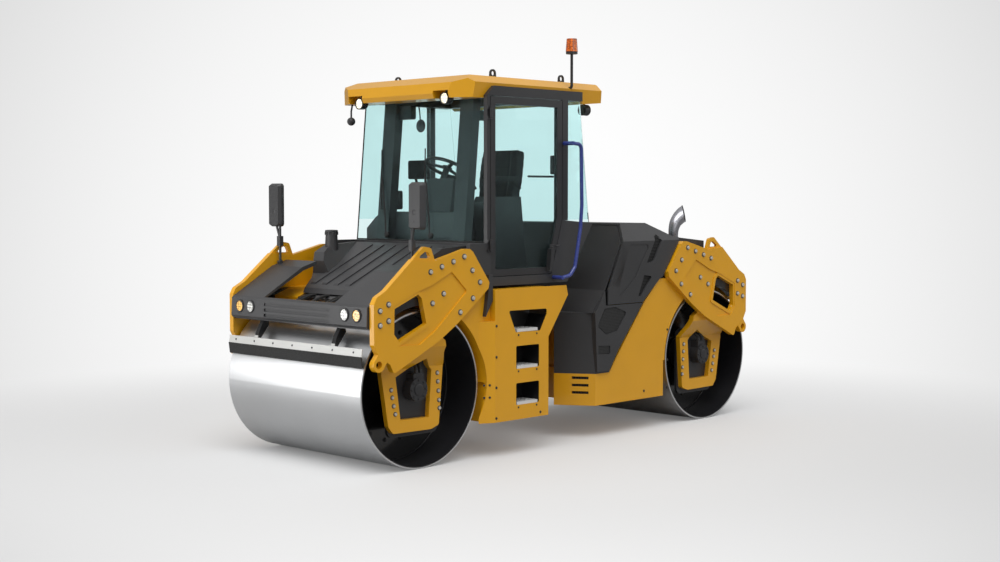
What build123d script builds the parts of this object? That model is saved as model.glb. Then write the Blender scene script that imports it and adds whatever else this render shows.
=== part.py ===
"""Articulated tandem road roller with a closed cab, in millimetres: X forward, Y to the left, Z up.

The origin is on the ground, under the articulation pin, half-way between the two drums.
"""

import os
from math import hypot

from build123d import *

# Drums
drum_radius = 620
drum_width = 1680
drum_wall = 20
axle_x = 1850
axle_z = drum_radius
head_inset = 340
head_thickness = 22
hub_radius = 190
shaft_radius = 70
motor_radius = 92
motor_reach = 95
running_gap = 0.3
far = 3000
fender_gap = 50

# Yokes: side plates over the drum ends, places measured from the drum axis
yoke_inner = drum_width / 2 + 30
yoke_plate = 50
loop_outer = drum_width / 2 - 75
loop_plate = 45
yoke_outline = [
    (550, 1010), (550, 1320), (520, 1372), (430, 1420), (150, 1650), (-75, 1630), (-410, 1715),
    (-460, 1715),
    (-495, 1690), (-680, 1440), (-670, 1390), (-320, 1125), (-120, 1000), (350, 782), (390, 856),
    (510, 940),
]
yoke_window = [(340, 1277), (95, 1377), (60, 1347), (10, 1146), (295, 1024), (345, 1083)]
yoke_pocket = [
    (362, 1292), (95, 1402), (-40, 1440), (-260, 1540), (-430, 1380), (-90, 1090), (85, 985), (300, 990),
    (362, 1070),
]
pocket_depth = 12
ring_width = 30
ring_drop = 4
eye_outline = [(200, 1606), (30, 1745), (-45, 1732), (-90, 1620), (0, 1560)]
eye_window = [(100, 1655), (15, 1706), (-18, 1698), (-40, 1652)]
eye_plate = 30
lug_place = (500, 860)
lug_neck = [(400, 900), (490, 965), (550, 880), (455, 830)]
lug_radius = 55
lug_bore = 30
loop_outline = [
    (346, 760), (275, 349), (228, 290), (-175, 285), (-260, 313), (-305, 800), (-250, 900), (-230, 1000),
    (-150, 1050), (300, 960), (350, 860),
]
loop_window = [(200, 730), (-90, 860), (-180, 760), (-150, 385), (150, 390)]
joggle_low = 790
joggle_high = 955
loop_top = 1090

# Frames
frame_half = yoke_inner
frame_bottom = 290
deck_top = 1378
front_bulkhead = 500
front_tank_front = 1160
deck_end = 2050
beam_back = 2275
beam_front = 2385
panel_outer = frame_half + 60
panel_skin = 12
panel_rear = 475
panel_fold = 1115

rail_width = 60
step_back = 590
step_front = 868
step_levels = (1015.3, 710.3, 410.3)
tread_depth = 180
pocket = 140

# Front fittings
beam_low = 1120
fairing_cut = 1955
rib_pitch = 150
rib_width = 56
rib_rise = 10
groove_levels = (1168, 1212, 1256)
cover_half = frame_half - 130
bar_half = frame_half - 8
bar_front = 2425
fairing_inner = 450
lamp_height = 1230
lamp_radius = 42
lamp_places = (600, -600, 745, -745)
scraper_half = drum_width / 2 + 5
mirror_place = (1935, frame_half + 20)
mirror_half = 78
mirror_depth = 55
mirror_pole_y = frame_half - 35
mirror_low = 1875
mirror_high = 2242

# Articulation
joint_z = 750
pin_radius = 45
lug_span = 390
lug_plate = 50
knuckle_radius = 95
roll_shaft = 60
bearing_front = -330
bearing_back = -440
ram_base = (450, 260)
ram_eye = (-171, 204)
ram_z = 765
ram_bore = 38
ram_rod = 20
ram_barrel = 355
ram_rod_start = 180

# Rear body
rear_corner = -200
wing_tip = (0, frame_half - 310)
louvre_levels = (535, 470, 405)
wall = 20
hood_half = frame_half + 23
hood_wall = 16
hood_bottom = 590
hood_split = 1170
hood_top = 1890
hood_gap = 5
skirt_seat = 0.3
cowl_face = [(-150, 1112), (-310, 1305), (-631, 1885)]
cowl_wall = 25
hood_slots = [
    [(-1024, 1772), (-1110, 1735), (-986, 1549), (-880, 1520)],
    [(-850, 1420), (-965, 1405), (-800, 1232), (-765, 1234)],
]
hood_panel = [
    (-640, 1700), (-545, 1450), (-470, 1255), (-510, 1240), (-720, 1400), (-800, 1520), (-930, 1700),
]
mesh_recess = [
    (-300, 1145), (-440, 1152), (-592, 1100), (-579, 1065), (-468, 937), (-321, 912), (-215, 985),
    (-215, 1010),
]
low_recess = [(-215, 822), (-375, 812), (-375, 738), (-215, 745)]
panel_sink = 5
mesh_sink = 10
hood_hinge = (-1900, 1420)
hood_back = -1840
hood_narrow = frame_half - 50
hinge_places = (560, -560)
hinge_pin = 12
exhaust_place = (-2065, 280)
exhaust_base = 1600
exhaust_radius = 45

# Cab
cab_half = frame_half - 20
cab_front = 1085
cab_bottom = 1400
cab_wall = 40
sill = 1480
tongue_outer = cab_half + 58
door_rear = 220
glass = 8
roof_half = cab_half - 50
roof_flat = roof_half - 100
roof_low = 2930
roof_rim = 3055
roof_top = 3120
roof_seat = 3030
door_top = 2950
glass_low = 1750
rear_sill = 1900
glass_half = cab_half - cab_wall - 1
post_y = 478
eye_place = (800, roof_half - 210)
eye_spread = 850
eye_rise = 38
beacon_place = (75, roof_half + 28)
beacon_low = 3350
lamp_recess = 90
roof_lamp = (1255, 533, 2930)
door_pin = (1096, cab_half + 18)
hinge_levels = (1700, 2780)
seat_y = 60
wheel_place = (820, seat_y, 2375)
wheel_radius = 185
column_gap = 111.5
rail_y = cab_half + 100
rail_route = [(194, 2583), (88, 2575), (78, 2056), (95, 1860), (165, 1530), (225, 1462), (330, 1445)]


def side(y):
    """A plane across Y; a slab grown from it reaches towards -Y."""
    return Plane.XZ.offset(-y)


def shifted(points, x):
    """Outline points given from the drum axis, moved along X."""
    return [(px + x, pz) for px, pz in points]


def both_sides(part):
    """A piece and its mirror image across the middle of the machine."""
    return [part, mirror(part, Plane.XZ)]


def make_yoke():
    """Left front yoke: a thick upper plate and a bent loop that reaches inside the drum end."""
    with BuildPart() as loop:
        with BuildSketch(side(yoke_inner + yoke_plate)):
            Polygon(*shifted(loop_outline, axle_x), align=None)
            fillet(vertices(), 25)
            Polygon(*shifted(loop_window, axle_x), align=None, mode=Mode.SUBTRACT)
        extrude(amount=yoke_inner + yoke_plate - loop_outer + loop_plate)
        with BuildSketch(Plane.YZ):
            Polygon(
                (loop_outer, 0), (loop_outer, joggle_low), (yoke_inner + 4, joggle_high),
                (yoke_inner + 4, loop_top),
                (yoke_inner - loop_plate, loop_top), (yoke_inner - loop_plate, joggle_high + 15),
                (loop_outer - loop_plate, joggle_low + 15), (loop_outer - loop_plate, 0),
                align=None,
            )
        extrude(amount=axle_x * 2, mode=Mode.INTERSECT)
    with BuildPart() as yoke:
        with BuildSketch(side(yoke_inner + yoke_plate)):
            Polygon(*shifted(yoke_outline, axle_x), align=None)
            fillet(vertices(), 18)
            with Locations((axle_x + lug_place[0], lug_place[1])):
                Circle(lug_radius)
            Polygon(*shifted(lug_neck, axle_x), align=None)
            with Locations((axle_x + lug_place[0], lug_place[1])):
                Circle(lug_bore, mode=Mode.SUBTRACT)
            Polygon(*shifted(yoke_window, axle_x), align=None, mode=Mode.SUBTRACT)
        extrude(amount=yoke_plate)
        with BuildSketch(side(yoke_inner + yoke_plate)):
            Polygon(*shifted(yoke_pocket, axle_x), align=None)
            fillet(vertices(), 20)
        extrude(amount=pocket_depth, mode=Mode.SUBTRACT)
        with BuildSketch(side(yoke_inner + yoke_plate - ring_drop)):
            Polygon(*shifted(yoke_window, axle_x), align=None)
            offset(amount=ring_width)
            Polygon(*shifted(yoke_window, axle_x), align=None, mode=Mode.SUBTRACT)
        extrude(amount=pocket_depth)
        with BuildSketch(side(yoke_inner + yoke_plate - 10)):
            Polygon(*shifted(eye_outline, axle_x), align=None)
            fillet(vertices().sort_by(Axis.Y)[-3:], 25)
        extrude(amount=eye_plate)
        with BuildSketch(side(yoke_inner + yoke_plate)):
            Polygon(*shifted(eye_window, axle_x), align=None)
            fillet(vertices(), 10)
        extrude(amount=yoke_plate, mode=Mode.SUBTRACT)
        add(loop.part)
    return yoke.part


def drum_shell(x):
    """Open steel tube of one drum."""
    with BuildPart() as shell:
        with BuildSketch(side(drum_width / 2)):
            with Locations((x, axle_z)):
                Circle(drum_radius)
                Circle(drum_radius - drum_wall, mode=Mode.SUBTRACT)
        extrude(amount=drum_width)
    return shell.part


def drum_heads(x):
    """Two discs inside the tube, joined by the shaft housing."""
    head_outer = drum_width / 2 - head_inset
    with BuildPart() as heads:
        with BuildSketch(side(head_outer)):
            with Locations((x, axle_z)):
                Circle(hub_radius)
        extrude(amount=2 * head_outer)
        for y in (head_outer, -head_outer + head_thickness):
            with BuildSketch(side(y)):
                with Locations((x, axle_z)):
                    Circle(drum_radius - drum_wall)
            extrude(amount=head_thickness)
        for y in (head_outer, -head_outer + 80):
            with BuildSketch(side(y)):
                with Locations((x, axle_z)):
                    Circle(shaft_radius + running_gap)
            extrude(amount=80, mode=Mode.SUBTRACT)
    return heads.part


def drum_carriers(x, facing):
    """Plates bolted behind the two yoke loops, each with its drive motor and stub shaft."""
    seat = loop_outer - loop_plate
    head_outer = drum_width / 2 - head_inset
    with BuildPart() as carrier:
        with BuildSketch(side(seat)):
            with Locations((x - 20 * facing, axle_z - 60)):
                RectangleRounded(540, 620, 60)
        extrude(amount=25)
        steps = [(230, 60), (150, seat - head_outer - 15), (shaft_radius, seat - head_outer + 60)]
        for radius, depth in steps:
            with BuildSketch(side(seat)):
                with Locations((x, axle_z)):
                    Circle(radius)
            extrude(amount=depth)
        with BuildSketch(side(seat)):
            with Locations((x, axle_z)):
                Circle(motor_radius)
        extrude(amount=-motor_reach)
        with BuildSketch(side(seat + motor_reach - 12)):
            with Locations((x - 10 * facing, axle_z + 75)):
                RectangleRounded(110, 110, 12)
        extrude(amount=motor_reach - 12)
    return Compound(both_sides(carrier.part))


def make_deck():
    """Arched deck, side rails and cross beam over the front drum, between the yokes."""
    fender = drum_radius + fender_gap
    with BuildPart() as deck:
        with BuildSketch(side(frame_half)):
            Polygon(
                (front_tank_front - 10, axle_z), (deck_end, axle_z), (deck_end, 1300), (1900, 1355),
                (1300, deck_top),
                (front_tank_front - 10, deck_top), align=None,
            )
            with Locations((axle_x, axle_z)):
                Circle(fender, mode=Mode.SUBTRACT)
        extrude(amount=2 * frame_half)
        with BuildSketch(side(frame_half)):
            Polygon(
                (beam_back, beam_low), (beam_front, beam_low), (beam_front, 1290), (beam_back, 1300),
                align=None,
            )
            with Locations((axle_x, axle_z)):
                Circle(fender, mode=Mode.SUBTRACT)
        extrude(amount=2 * frame_half)
        for y in (frame_half, -frame_half + rail_width):
            with BuildSketch(side(y)):
                Polygon(
                    (1900, beam_low), (beam_front, beam_low), (beam_front, 1290), (1900, 1355),
                    align=None,
                )
                with Locations((axle_x, axle_z)):
                    Circle(fender, mode=Mode.SUBTRACT)
            extrude(amount=rail_width)
    return deck.part


def step_openings():
    """Three openings of the side ladder, the top one wider upwards."""
    return [
        [(957, 1197), (500, 1192), (494, 1153), (577, 1012), (873, 1015)],
        [(step_back, 710), (step_front, 710), (step_front, 900), (step_back, 900)],
        [(step_back, 410), (step_front, 410), (step_front, 592), (step_back, 592)],
    ]


def make_front_chassis():
    """Welded front frame: tank body behind the drum, the deck over it and the pivot lugs."""
    with BuildPart() as chassis:
        with BuildSketch(side(frame_half)):
            Polygon(
                (front_bulkhead, frame_bottom), (front_tank_front, frame_bottom),
                (front_tank_front, deck_top),
                (front_bulkhead, deck_top), align=None,
            )
        extrude(amount=2 * frame_half)
        add(make_deck())
        for z in (joint_z + lug_span / 2, joint_z - lug_span / 2 - lug_plate):
            with BuildSketch(Plane.XY.offset(z)):
                Polygon((front_bulkhead, -260), (front_bulkhead, 260), (0, 110), (0, -110), align=None)
                Circle(110)
                Circle(pin_radius + running_gap, mode=Mode.SUBTRACT)
            extrude(amount=lug_plate)
        for points in step_openings():
            for y in (frame_half, -frame_half + pocket):
                with BuildSketch(side(y)):
                    Polygon(*points, align=None)
                extrude(amount=pocket, mode=Mode.SUBTRACT)
        for y in (-ram_base[1], ram_base[1]):
            for z in (ram_z + 26, ram_z - 46):
                with BuildSketch(Plane.XY.offset(z)):
                    with Locations((front_bulkhead - 45, y)):
                        Rectangle(90, 70)
                extrude(amount=20)
    return chassis.part


def make_side_panel():
    """Left stepped skin of the front frame, folded round to the drum."""
    with BuildPart() as panel:
        with BuildSketch(side(panel_outer)):
            Polygon(
                (panel_rear, frame_bottom), (panel_fold, frame_bottom), (panel_fold, deck_top),
                (250, deck_top),
                (230, 1295), (panel_rear, 954), align=None,
            )
        extrude(amount=panel_skin)
        with BuildSketch(side(panel_outer)):
            Polygon(
                (front_bulkhead, frame_bottom), (panel_fold, frame_bottom), (panel_fold, deck_top),
                (front_bulkhead, deck_top), align=None,
            )
        extrude(amount=panel_outer - frame_half)
        with BuildSketch(Plane.XY.offset(frame_bottom)):
            Polygon(
                (panel_fold, panel_outer), (1245, frame_half), (1160, frame_half),
                (panel_fold, frame_half), align=None,
            )
        extrude(amount=beam_low - frame_bottom)
        with BuildSketch(side(panel_outer + 1)):
            with Locations((axle_x, axle_z)):
                Circle(drum_radius + fender_gap)
        extrude(amount=200, mode=Mode.SUBTRACT)
        for points in step_openings():
            with BuildSketch(side(panel_outer + 1)):
                Polygon(*points, align=None)
                fillet(vertices(), 14)
            extrude(amount=panel_outer - frame_half + 2, mode=Mode.SUBTRACT)
    return panel.part


def make_steps():
    """Open steel gratings at the foot of each ladder opening."""
    width = step_front - step_back - 30
    with BuildPart() as treads:
        for z in step_levels:
            with BuildSketch(Plane.XY.offset(z)):
                with Locations(((step_back + step_front) / 2, panel_outer - 5 - tread_depth / 2)):
                    Rectangle(width, tread_depth)
                    with GridLocations(width / 5, tread_depth / 4, 5, 3):
                        Rectangle(width / 5 - 14, tread_depth / 4 - 14, mode=Mode.SUBTRACT)
            extrude(amount=24)
    return both_sides(treads.part)


def make_knuckle():
    """Centre joint: upright steering pin, arms for the steering rams and the roll shaft behind it."""
    with BuildPart() as knuckle:
        with BuildSketch(Plane.XY.offset(joint_z - lug_span / 2 + running_gap)):
            Circle(knuckle_radius)
        extrude(amount=lug_span - 2 * running_gap)
        with BuildSketch(Plane.XY.offset(joint_z - lug_span / 2 - lug_plate - 12)):
            Circle(pin_radius)
        extrude(amount=lug_span + 2 * lug_plate + 24)
        with BuildSketch(Plane.XY.offset(ram_z - 69.5)):
            with Locations((ram_eye[0], ram_eye[1]), (ram_eye[0], -ram_eye[1])):
                Circle(55)
            Polygon((ram_eye[0] - 55, ram_eye[1]), (ram_eye[0] + 55, ram_eye[1] + 20), (60, 70), (60, -70),
                    (ram_eye[0] + 55, -ram_eye[1] - 20), (ram_eye[0] - 55, -ram_eye[1]), align=None)
        extrude(amount=40)
        with BuildSketch(Plane.YZ.offset(bearing_back - 12)):
            with Locations((0, joint_z)):
                Circle(roll_shaft)
        extrude(amount=-bearing_back + 12)
        with BuildSketch(Plane.YZ.offset(bearing_front + running_gap)):
            with Locations((0, joint_z)):
                Circle(roll_shaft + 45)
        extrude(amount=-bearing_front - 60)
    return knuckle.part


def make_ram(hand):
    """Steering ram: barrel hinged on the front frame, rod ending over the knuckle arm."""
    base_x, base_y = ram_base[0], hand * ram_base[1]
    eye_x, eye_y = ram_eye[0], hand * ram_eye[1]
    length = hypot(eye_x - base_x, eye_y - base_y)
    line = Plane(origin=(base_x, base_y, ram_z), x_dir=(0, 0, 1), z_dir=(eye_x - base_x, eye_y - base_y, 0))
    with BuildPart() as barrel:
        with BuildSketch(Plane.XY.offset(ram_z - 25)):
            with Locations((base_x, base_y)):
                Circle(34)
        extrude(amount=50)
        with BuildSketch(line.offset(20)):
            Circle(22)
        extrude(amount=40)
        with BuildSketch(line.offset(50)):
            Circle(ram_bore)
        extrude(amount=ram_barrel)
        with BuildSketch(line.offset(62)):
            Circle(ram_rod + running_gap)
        extrude(amount=length, mode=Mode.SUBTRACT)
    with BuildPart() as rod:
        with BuildSketch(line.offset(ram_rod_start)):
            Circle(ram_rod)
        extrude(amount=length - ram_rod_start)
        with BuildSketch(Plane.XY.offset(ram_z - 29)):
            with Locations((eye_x, eye_y)):
                Circle(40)
        extrude(amount=58)
    return barrel.part, rod.part


def make_rear_chassis():
    """Welded rear frame: engine tray with a wedge front, the deck over the drum and the roll bearing."""
    with BuildPart() as chassis:
        with BuildSketch(side(frame_half)):
            Polygon(
                (60, frame_bottom), (-front_tank_front, frame_bottom), (-front_tank_front, deck_top),
                (-1100, deck_top), (-885, 1180), (-505, 720), (-390, 572), (60, 572), align=None,
            )
        extrude(amount=2 * frame_half)
        with BuildSketch(Plane.XY):
            Polygon(
                (-far, -frame_half), (rear_corner, -frame_half), (wing_tip[0], -wing_tip[1]),
                (-340, -480),
                (-340, 480), wing_tip, (rear_corner, frame_half), (-far, frame_half), align=None,
            )
        extrude(amount=far, mode=Mode.INTERSECT)
        with BuildSketch(side(frame_half - wall)):
            Polygon(
                (-400 - wall, frame_bottom + wall), (-1000, frame_bottom + wall), (-1000, 2000),
                (-400 - wall, 2000), align=None,
            )
        extrude(amount=2 * (frame_half - wall), mode=Mode.SUBTRACT)
        add(mirror(make_deck(), Plane.YZ))
        with BuildSketch(side(frame_half + 1)):
            with Locations((-axle_x, axle_z)):
                Circle(drum_radius + fender_gap)
        extrude(amount=2 * frame_half + 2, mode=Mode.SUBTRACT)
        for y in (-1, 1):
            with BuildSketch(Plane.YZ.offset(wing_tip[0])):
                for z in louvre_levels:
                    with Locations((y * (frame_half + wing_tip[1] + 80) / 2, z)):
                        Rectangle(130, 24)
            extrude(amount=rear_corner + 10, mode=Mode.SUBTRACT)
        with BuildSketch(Plane.YZ.offset(bearing_back)):
            with Locations((0, joint_z)):
                Rectangle(960, 420)
        extrude(amount=40)
        with BuildSketch(Plane.YZ.offset(bearing_back)):
            with Locations((0, joint_z)):
                Circle(roll_shaft + 60)
        extrude(amount=bearing_front - bearing_back)
        with BuildSketch(Plane.YZ.offset(bearing_back - 20)):
            with Locations((0, joint_z)):
                Circle(roll_shaft + running_gap)
        extrude(amount=bearing_front - bearing_back + 100, mode=Mode.SUBTRACT)
    return chassis.part


def make_cowl():
    """Fixed black front of the engine: lower wedge, sloping upper face and the side skirts."""
    half = frame_half
    inner_half = hood_half - hood_wall - hood_gap
    inner_top = hood_top - hood_wall - hood_gap
    low, knee, high = cowl_face
    with BuildPart() as cowl:
        with BuildSketch(side(inner_half)):
            Polygon(
                low, knee, high, (high[0] - cowl_wall, high[1]), (knee[0] - cowl_wall, knee[1] + 10),
                (low[0] - cowl_wall, low[1]), align=None,
            )
        extrude(amount=2 * inner_half)
        with BuildSketch(Plane.YZ.offset(-1000)):
            Polygon(
                (-inner_half, 1000), (inner_half, 1000), (inner_half, inner_top - 160),
                (inner_half - 110, inner_top),
                (110 - inner_half, inner_top), (-inner_half, inner_top - 160), align=None,
            )
        extrude(amount=1000, mode=Mode.INTERSECT)
        with BuildSketch(Plane.XY.offset(572.3)):
            Polygon(
                (-390, -half), (rear_corner, -half), (wing_tip[0], -wing_tip[1]), (-340, -480),
                (-340, 480), wing_tip, (rear_corner, half), (-390, half), align=None,
            )
        extrude(amount=low[1] - 572.3)
        for y in (hood_half, -half - skirt_seat):
            with BuildSketch(side(y)):
                Polygon(
                    (rear_corner, hood_bottom), (low[0] - 20, low[1]), (knee[0] + 5, knee[1] - 5),
                    (knee[0] - 5, hood_split),
                    (-833, hood_split), (-486, 765), (-367, hood_bottom), align=None,
                )
            extrude(amount=hood_half - half - skirt_seat)
        for points in (mesh_recess, low_recess):
            for y in (hood_half, -hood_half + mesh_sink):
                with BuildSketch(side(y)):
                    Polygon(*points, align=None)
                    fillet(vertices(), 12)
                extrude(amount=mesh_sink, mode=Mode.SUBTRACT)
        for y in (half + skirt_seat + 1, -half + 20):
            with BuildSketch(side(y)):
                Polygon(
                    (rear_corner, hood_bottom), (low[0] - 20, low[1]), (-340, low[1]),
                    (-360, hood_bottom), align=None,
                )
            extrude(amount=21 + skirt_seat)
        with BuildSketch(side(half)):
            Polygon((-505, 720), (-390, 572), (-390, 560), (-600, 560), (-600, 720), align=None)
        extrude(amount=2 * half, mode=Mode.SUBTRACT)
        with BuildSketch(Plane.YZ.offset(-450)):
            with Locations((0, joint_z)):
                Rectangle(962, 422)
        extrude(amount=700, mode=Mode.SUBTRACT)
    return cowl.part


def hood_form(skin):
    """Outer form of the engine hood, or its hollow, open to the front, when a skin is taken off."""
    half = hood_half - skin
    top = hood_top - skin
    knee, high = cowl_face[1:]
    front = 400 if skin else 0
    with BuildPart() as form:
        with BuildSketch(side(half)):
            Polygon(
                (knee[0] - 35 + front, hood_split + 6), (knee[0] - 35 + front, knee[1]),
                (high[0] + front, top),
                (-990, top), (-1295, top - 127), (hood_back + skin, top - 180),
                (hood_back + skin, deck_top + 12),
                (-1090, deck_top + 12), (-863, 1205), (-835, hood_split + 6), align=None,
            )
        extrude(amount=2 * half)
        with BuildSketch(Plane.YZ.offset(-far)):
            Polygon(
                (-half, 0), (half, 0), (half, top - 160), (half - 110, top), (110 - half, top),
                (-half, top - 160),
                align=None,
            )
        extrude(amount=2 * far, mode=Mode.INTERSECT)
        for y in (1000, skin - hood_narrow):
            with BuildSketch(side(y)):
                Polygon(
                    (-1105 + skin, 1380), (-1152 + skin, 1440), (-1338 + skin, 1690),
                    (-1400 + skin, 1800),
                    (-2000, 1950), (-2000, 1380), align=None,
                )
            extrude(amount=1000 - hood_narrow + skin, mode=Mode.SUBTRACT)
    return form.part


def make_hood():
    """Moulded engine hood, open below and at the front, tilting back on two knuckles behind it."""
    inner_half = hood_half - hood_wall
    with BuildPart() as hood:
        add(hood_form(0))
        add(hood_form(hood_wall), mode=Mode.SUBTRACT)
        with BuildSketch(side(inner_half)):
            Polygon(
                (0, 1100), (0, 1200), (-800, 1200), (-1090, 1420), (-1810, 1420), (-1810, 1100),
                align=None,
            )
        extrude(amount=2 * inner_half, mode=Mode.SUBTRACT)
        for points in hood_slots:
            with BuildSketch(side(hood_half + 1)):
                Polygon(*points, align=None)
                fillet(vertices(), 12)
            extrude(amount=2 * hood_half + 2, mode=Mode.SUBTRACT)
        for y in (hood_half, -hood_half + panel_sink):
            with BuildSketch(side(y)):
                Polygon(*hood_panel, align=None)
                fillet(vertices(), 25)
            extrude(amount=panel_sink, mode=Mode.SUBTRACT)
        for y in hinge_places:
            with BuildSketch(side(y + 20)):
                Polygon(
                    (hood_back + 2, 1520), (hood_back + 2, deck_top + 14),
                    (hood_hinge[0], hood_hinge[1] - 22),
                    (hood_hinge[0], hood_hinge[1] + 22), align=None,
                )
                with Locations(hood_hinge):
                    Circle(22)
                    Circle(hinge_pin + running_gap, mode=Mode.SUBTRACT)
            extrude(amount=40)
    return hood.part


def make_hood_hinges():
    """Fixed hinge brackets on the rear deck, with their pins."""
    with BuildPart() as hinges:
        for y in hinge_places:
            for outer in (y + 36, y - 21):
                with BuildSketch(side(outer)):
                    with Locations(hood_hinge):
                        Circle(22)
                    Polygon(
                        (hood_hinge[0] - 22, hood_hinge[1]), (hood_hinge[0] - 30, 1345.3),
                        (-1900, 1355.3),
                        (hood_hinge[0] + 30, 1356.7),
                        (hood_hinge[0] + 22, hood_hinge[1]), align=None,
                    )
                extrude(amount=15)
            with BuildSketch(side(y + 40)):
                with Locations(hood_hinge):
                    Circle(hinge_pin)
            extrude(amount=80)
    return hinges.part


def cover_z(x):
    """Height of the cover's sloping middle at a place along X."""
    return 1735 - (x - 1205) * 0.487


def make_cover():
    """Black ribbed cover between the front yokes, with a raised shoulder each side and a capped intake."""
    with BuildPart() as shoulder:
        with BuildSketch(side(cover_half)):
            Polygon(
                (1205, 1600), (1205, cover_z(1205)), (1523, 1715), (1640, 1655), (1705, 1585),
                (1730, cover_z(1730) - 5), (1400, 1500), align=None,
            )
        extrude(amount=2 * cover_half)
        with BuildSketch(Plane.YZ.offset(1000)):
            for hand in (-1, 1):
                Polygon(
                    (hand * cover_half, 1200), (hand * cover_half, 1800),
                    (hand * (cover_half - 40), 1745),
                    (hand * (cover_half - 310), 1480), (hand * (cover_half - 310), 1200), align=None,
                )
        extrude(amount=1000, mode=Mode.INTERSECT)
    with BuildPart() as cover:
        with BuildSketch(side(cover_half)):
            Polygon(
                (cab_front + 42, deck_top + 1), (cab_front + 42, 1725), (1205, cover_z(1205)),
                (1950, cover_z(1950)), (1990, 1332), (1910, 1358), (1300, deck_top + 1), align=None,
            )
        extrude(amount=2 * cover_half)
        for place in range(-3, 4):
            with BuildSketch(side(place * rib_pitch + rib_width / 2)):
                Polygon(
                    (1245, cover_z(1245) - 5), (1255, cover_z(1255) + rib_rise),
                    (1880, cover_z(1880) + rib_rise),
                    (1905, cover_z(1905) - 5), align=None,
                )
            extrude(amount=rib_width)
        add(shoulder.part)
        with BuildSketch(Plane.XY.offset(1000)):
            Polygon(
                (1000, -cover_half), (1640, -cover_half), (1800, -fairing_inner - 130),
                (2000, -fairing_inner),
                (2000, fairing_inner), (1800, fairing_inner + 130), (1640, cover_half),
                (1000, cover_half), align=None,
            )
        extrude(amount=1000, mode=Mode.INTERSECT)
        with BuildSketch(Plane.XY.offset(1600)):
            with Locations((1503, -cover_half + 64)):
                Circle(62)
        extrude(amount=229, taper=3)
    return cover.part


def make_rear_cover():
    """Black sloping housing behind the engine hood, between the rear fairings."""
    half = fairing_inner - 2
    with BuildPart() as cover:
        with BuildSketch(side(half)):
            Polygon(
                (-2005, 1317), (-2005, exhaust_base), (-2110, exhaust_base), (-2262, 1420), (-2262, 1301),
                (-deck_end, 1301), align=None,
            )
        extrude(amount=2 * half)
    return cover.part


def make_rear_bar(bar):
    """The light bar turned to the rear, with its fairings cut short of the hood's swing."""
    with BuildPart() as rear:
        add(mirror(bar, Plane.YZ))
        with BuildSketch(Plane.XY.offset(1300)):
            Rectangle(2 * fairing_cut, far)
        extrude(amount=500, mode=Mode.SUBTRACT)
    return rear.part


def make_light_bar():
    """Black bar across the front between the yokes, with a sloping fairing behind each pair of lamps."""
    with BuildPart() as bar:
        with BuildSketch(side(bar_half)):
            Polygon(
                (beam_front + 0.3, 1130), (bar_front - 15, 1130), (bar_front, 1150),
                (bar_front - 8, 1295),
                (bar_front - 30, 1312), (beam_front + 0.3, 1312), align=None,
            )
        extrude(amount=2 * bar_half)
        for y in (bar_half, -fairing_inner):
            with BuildSketch(side(y)):
                Polygon(
                    (beam_front + 10, 1293), (bar_front - 30, 1312), (2000, 1545), (1850, 1590),
                    (1850, 1560),
                    (1990, 1515), align=None,
                )
            extrude(amount=bar_half - fairing_inner)
        for y in lamp_places:
            with BuildSketch(Plane.YZ.offset(bar_front)):
                with Locations((y, lamp_height)):
                    Circle(lamp_radius + 4)
            extrude(amount=-18, mode=Mode.SUBTRACT)
        for z in groove_levels:
            with BuildSketch(Plane.YZ.offset(bar_front)):
                with Locations((0, z)):
                    SlotOverall(2 * fairing_inner - 60, 26)
            extrude(amount=-14, mode=Mode.SUBTRACT)
    return bar.part


def make_lamps(places):
    """Round lamps set in the light bar."""
    with BuildPart() as lamps:
        for y in places:
            with BuildSketch(Plane.YZ.offset(bar_front - 17.7)):
                with Locations((y, lamp_height)):
                    Circle(lamp_radius)
            extrude(amount=18)
    return lamps.part.solids()


def make_scraper():
    """Front scraper: light strip with the rubber blade hung under it, on two brackets from the cross beam."""
    with BuildPart() as strip:
        with BuildSketch(side(scraper_half)):
            Polygon((2447, 985), (2455, 985), (2463, 925), (2455, 925), align=None)
        extrude(amount=2 * scraper_half)
        for y in (490, -490):
            with BuildSketch(side(y + 22)):
                Polygon(
                    (2340, beam_low), (beam_front, beam_low), (2420, 1060), (2450, 985), (2458, 932),
                    (2446, 932),
                    (2400, 1000), (2330, 1090), align=None,
                )
            extrude(amount=44)
    with BuildPart() as blade:
        with BuildSketch(side(scraper_half)):
            Polygon((2455, 924.7), (2468, 924.7), (2456, 836), (2443, 836), align=None)
        extrude(amount=2 * scraper_half)
    return strip.part, blade.part


def fairing_z(x):
    """Height of the fairing's sloping back part at a place along X."""
    return 1545 + (2000 - x) * 0.3


def make_mirrors():
    """Left mirror: a pole standing on the fairing, with its clamp and its rounded, tapering head."""
    x, y = mirror_place
    middle = (mirror_low + mirror_high) / 2
    with BuildPart() as one:
        with BuildSketch(Plane(origin=(x, mirror_pole_y, fairing_z(x) + 0.3), z_dir=(0.3, 0, 1))):
            Circle(24)
        extrude(amount=22)
        with BuildSketch(Plane.XY.offset(fairing_z(x) + 10)):
            with Locations((x, mirror_pole_y)):
                Circle(11)
        extrude(amount=mirror_low + 100 - fairing_z(x))
        with BuildSketch(Plane.XY.offset(mirror_low - 165)):
            with Locations((x, mirror_pole_y)):
                RectangleRounded(44, 44, 8)
        extrude(amount=85)
        with BuildSketch(Plane.YZ.offset(x - mirror_depth / 2)):
            with Locations((y, middle)):
                RectangleRounded(2 * mirror_half, mirror_high - mirror_low, 30)
        extrude(amount=mirror_depth / 2)
        with BuildSketch(Plane.YZ.offset(x)):
            with Locations((y, middle)):
                RectangleRounded(2 * mirror_half, mirror_high - mirror_low, 30)
        extrude(amount=mirror_depth / 2, taper=30)
    return one.part


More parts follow.
